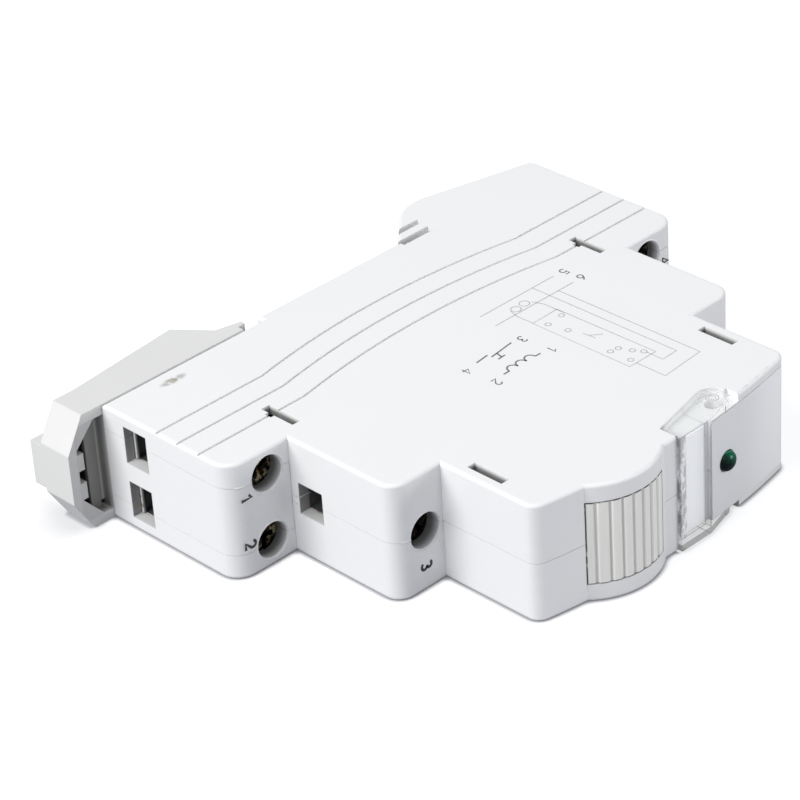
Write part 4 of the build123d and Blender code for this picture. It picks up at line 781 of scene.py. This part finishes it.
# the lens is painted near black at its lower left as painted shade, and lit green with painted glints at its
# upper right
lit_upper_right = (lens_green.axis("X") - LED_X + lens_green.axis("Z") - MID_Z).ramp(-0.0008, 0.0018)
lens_glints = lens_green.mix(lens_green.noise(0.0006, 2.0).ramp(0.56, 0.66), tone("04593E"), tone("2F9C7B"))
lens_green.feed(lens_green.shader, {"Base Color": lens_green.mix(lit_upper_right, tone("00140D"), lens_glints)})
lens_green.relief(lens_green.noise(0.0012), 0.00004)
lens_green.on("status_led")
tinned = Finish("tinned_lead", metallic=1.0)
tinned.feed(tinned.shader, {
    "Base Color": tinned.mix(tinned.noise(0.0008), tone("B4B6B8"), tone("DADADA")),
    "Roughness": 0.28 + 0.2 * tinned.noise(0.0005)})
tinned.relief(tinned.noise(0.0003), 0.000005, 0.00006)
tinned.on("led_leads")


# The circuit board on its posts: green solder mask over copper tracks, and a smaller dark board that
# carries the radio under a tin shield.
mask = Finish("board_green", coat_weight=0.3)
tracks = mask.node("ShaderNodeTexVoronoi", {"distance": "MANHATTAN", "feature": "DISTANCE_TO_EDGE"},
                   {"Vector": mask.place, "Scale": 260.0}, "Distance")
mask.feed(mask.shader, {
    "Base Color": mask.mix(tracks.ramp(0.03, 0.06), tone("2F7A4C"), tone("1D5C38")),
    "Roughness": 0.3 + 0.12 * mask.noise(0.002)})
mask.relief(tracks.ramp(0.02, 0.07), 0.00003)
mask.on("main_board")
dark = Finish("board_dark", coat_weight=0.3)
lanes = dark.node("ShaderNodeTexVoronoi", {"distance": "MANHATTAN", "feature": "DISTANCE_TO_EDGE"},
                  {"Vector": dark.place, "Scale": 500.0}, "Distance")
dark.feed(dark.shader, {
    "Base Color": dark.mix(lanes.ramp(0.03, 0.06), tone("24343F"), tone("11181E")),
    "Roughness": 0.32 + 0.1 * dark.noise(0.002)})
dark.relief(lanes.ramp(0.02, 0.07), 0.00002)
dark.on("wifi_board")
tin = Finish("shield_tin", metallic=1.0)
tin.feed(tin.shader, {
    "Base Color": tin.mix(tin.noise(0.003, 3.0), tone("B5B7B8"), tone("D9DADA")),
    "Roughness": 0.3 + 0.15 * tin.noise(0.0012)})
tin.relief(tin.noise(0.0006), 0.000008, 0.0002)
tin.on("wifi_shield", "crystal")


# Supply parts: a fusible resistor, a varistor and a bridge by the supply terminals, the transformer
# with its taped winding, and two capacitors in printed sleeves.
lacquer = Finish("resistor_coat", coat_weight=0.4)
bands = lacquer.axis("X")
stripe = lacquer.node("ShaderNodeMath", {"operation": "PINGPONG"}, {0: bands, 1: 0.0008}) < 0.0003
ends = (bands - 0.0146).ramp(-0.00005, 0.00005) * (1 - (bands - 0.0192).ramp(-0.00005, 0.00005))
lacquer.feed(lacquer.shader, {
    "Base Color": lacquer.mix(stripe * ends, tone("6C8C5A"), tone("5A3420")),
    "Roughness": 0.35 + 0.15 * lacquer.noise(0.001)})
lacquer.relief(lacquer.noise(0.0006), 0.00002)
lacquer.on("fuse_resistor")
dipped = Finish("varistor_blue", coat_weight=0.3)
dipped.feed(dipped.shader, {
    "Base Color": dipped.mix(dipped.noise(0.0015), tone("1F4E8C"), tone("2B62A8")),
    "Roughness": 0.4 + 0.15 * dipped.noise(0.0008)})
dipped.relief(dipped.noise(0.0009, 3.0), 0.00005)
dipped.on("varistor")
epoxy = Finish("chip_black")
epoxy.feed(epoxy.shader, {
    "Base Color": epoxy.mix(epoxy.noise(0.0004, 3.0), tone("1B1B1C"), tone("29292A")),
    "Roughness": 0.5 + 0.15 * epoxy.noise(0.0005)})
epoxy.relief(epoxy.noise(0.00015), 0.000008, 0.0001)
epoxy.on("bridge_rectifier", "meter_chip", "burden_resistors")
sleeve = Finish("capacitor_sleeve", coat_weight=0.3)
sleeve.feed(sleeve.shader, {
    "Base Color": sleeve.mix((sleeve.axis("Y") - 0.019).ramp(0.0, 0.00005), tone("1E2A4A"), tone("C9CCD2")),
    "Roughness": 0.3 + 0.1 * sleeve.noise(0.001)})
sleeve.relief(sleeve.noise(0.0012), 0.00002, 0.0002)
sleeve.on("bulk_capacitor", "output_capacitor")
ferrite = Finish("ferrite")
ferrite.feed(ferrite.shader, {
    "Base Color": ferrite.mix(ferrite.noise(0.0005, 3.0), tone("35363A"), tone("4A4B4F")),
    "Roughness": 0.5 + 0.2 * ferrite.noise(0.0005)})
ferrite.relief(ferrite.noise(0.0002, 3.0), 0.00001, 0.0001)
ferrite.on("transformer_core")
tape = Finish("winding_tape", coat_weight=0.2)
wraps = tape.node("ShaderNodeMath", {"operation": "PINGPONG"}, {0: tape.axis("Z"), 1: 0.0012})
tape.feed(tape.shader, {
    "Base Color": tape.mix(wraps.ramp(0.0, 0.0002), tone("B98E1E"), tone("D9B13A")),
    "Roughness": 0.3 + 0.12 * tape.noise(0.001)})
tape.relief(wraps.ramp(0.0, 0.0003), 0.00004, 0.0002)
tape.on("transformer_winding")
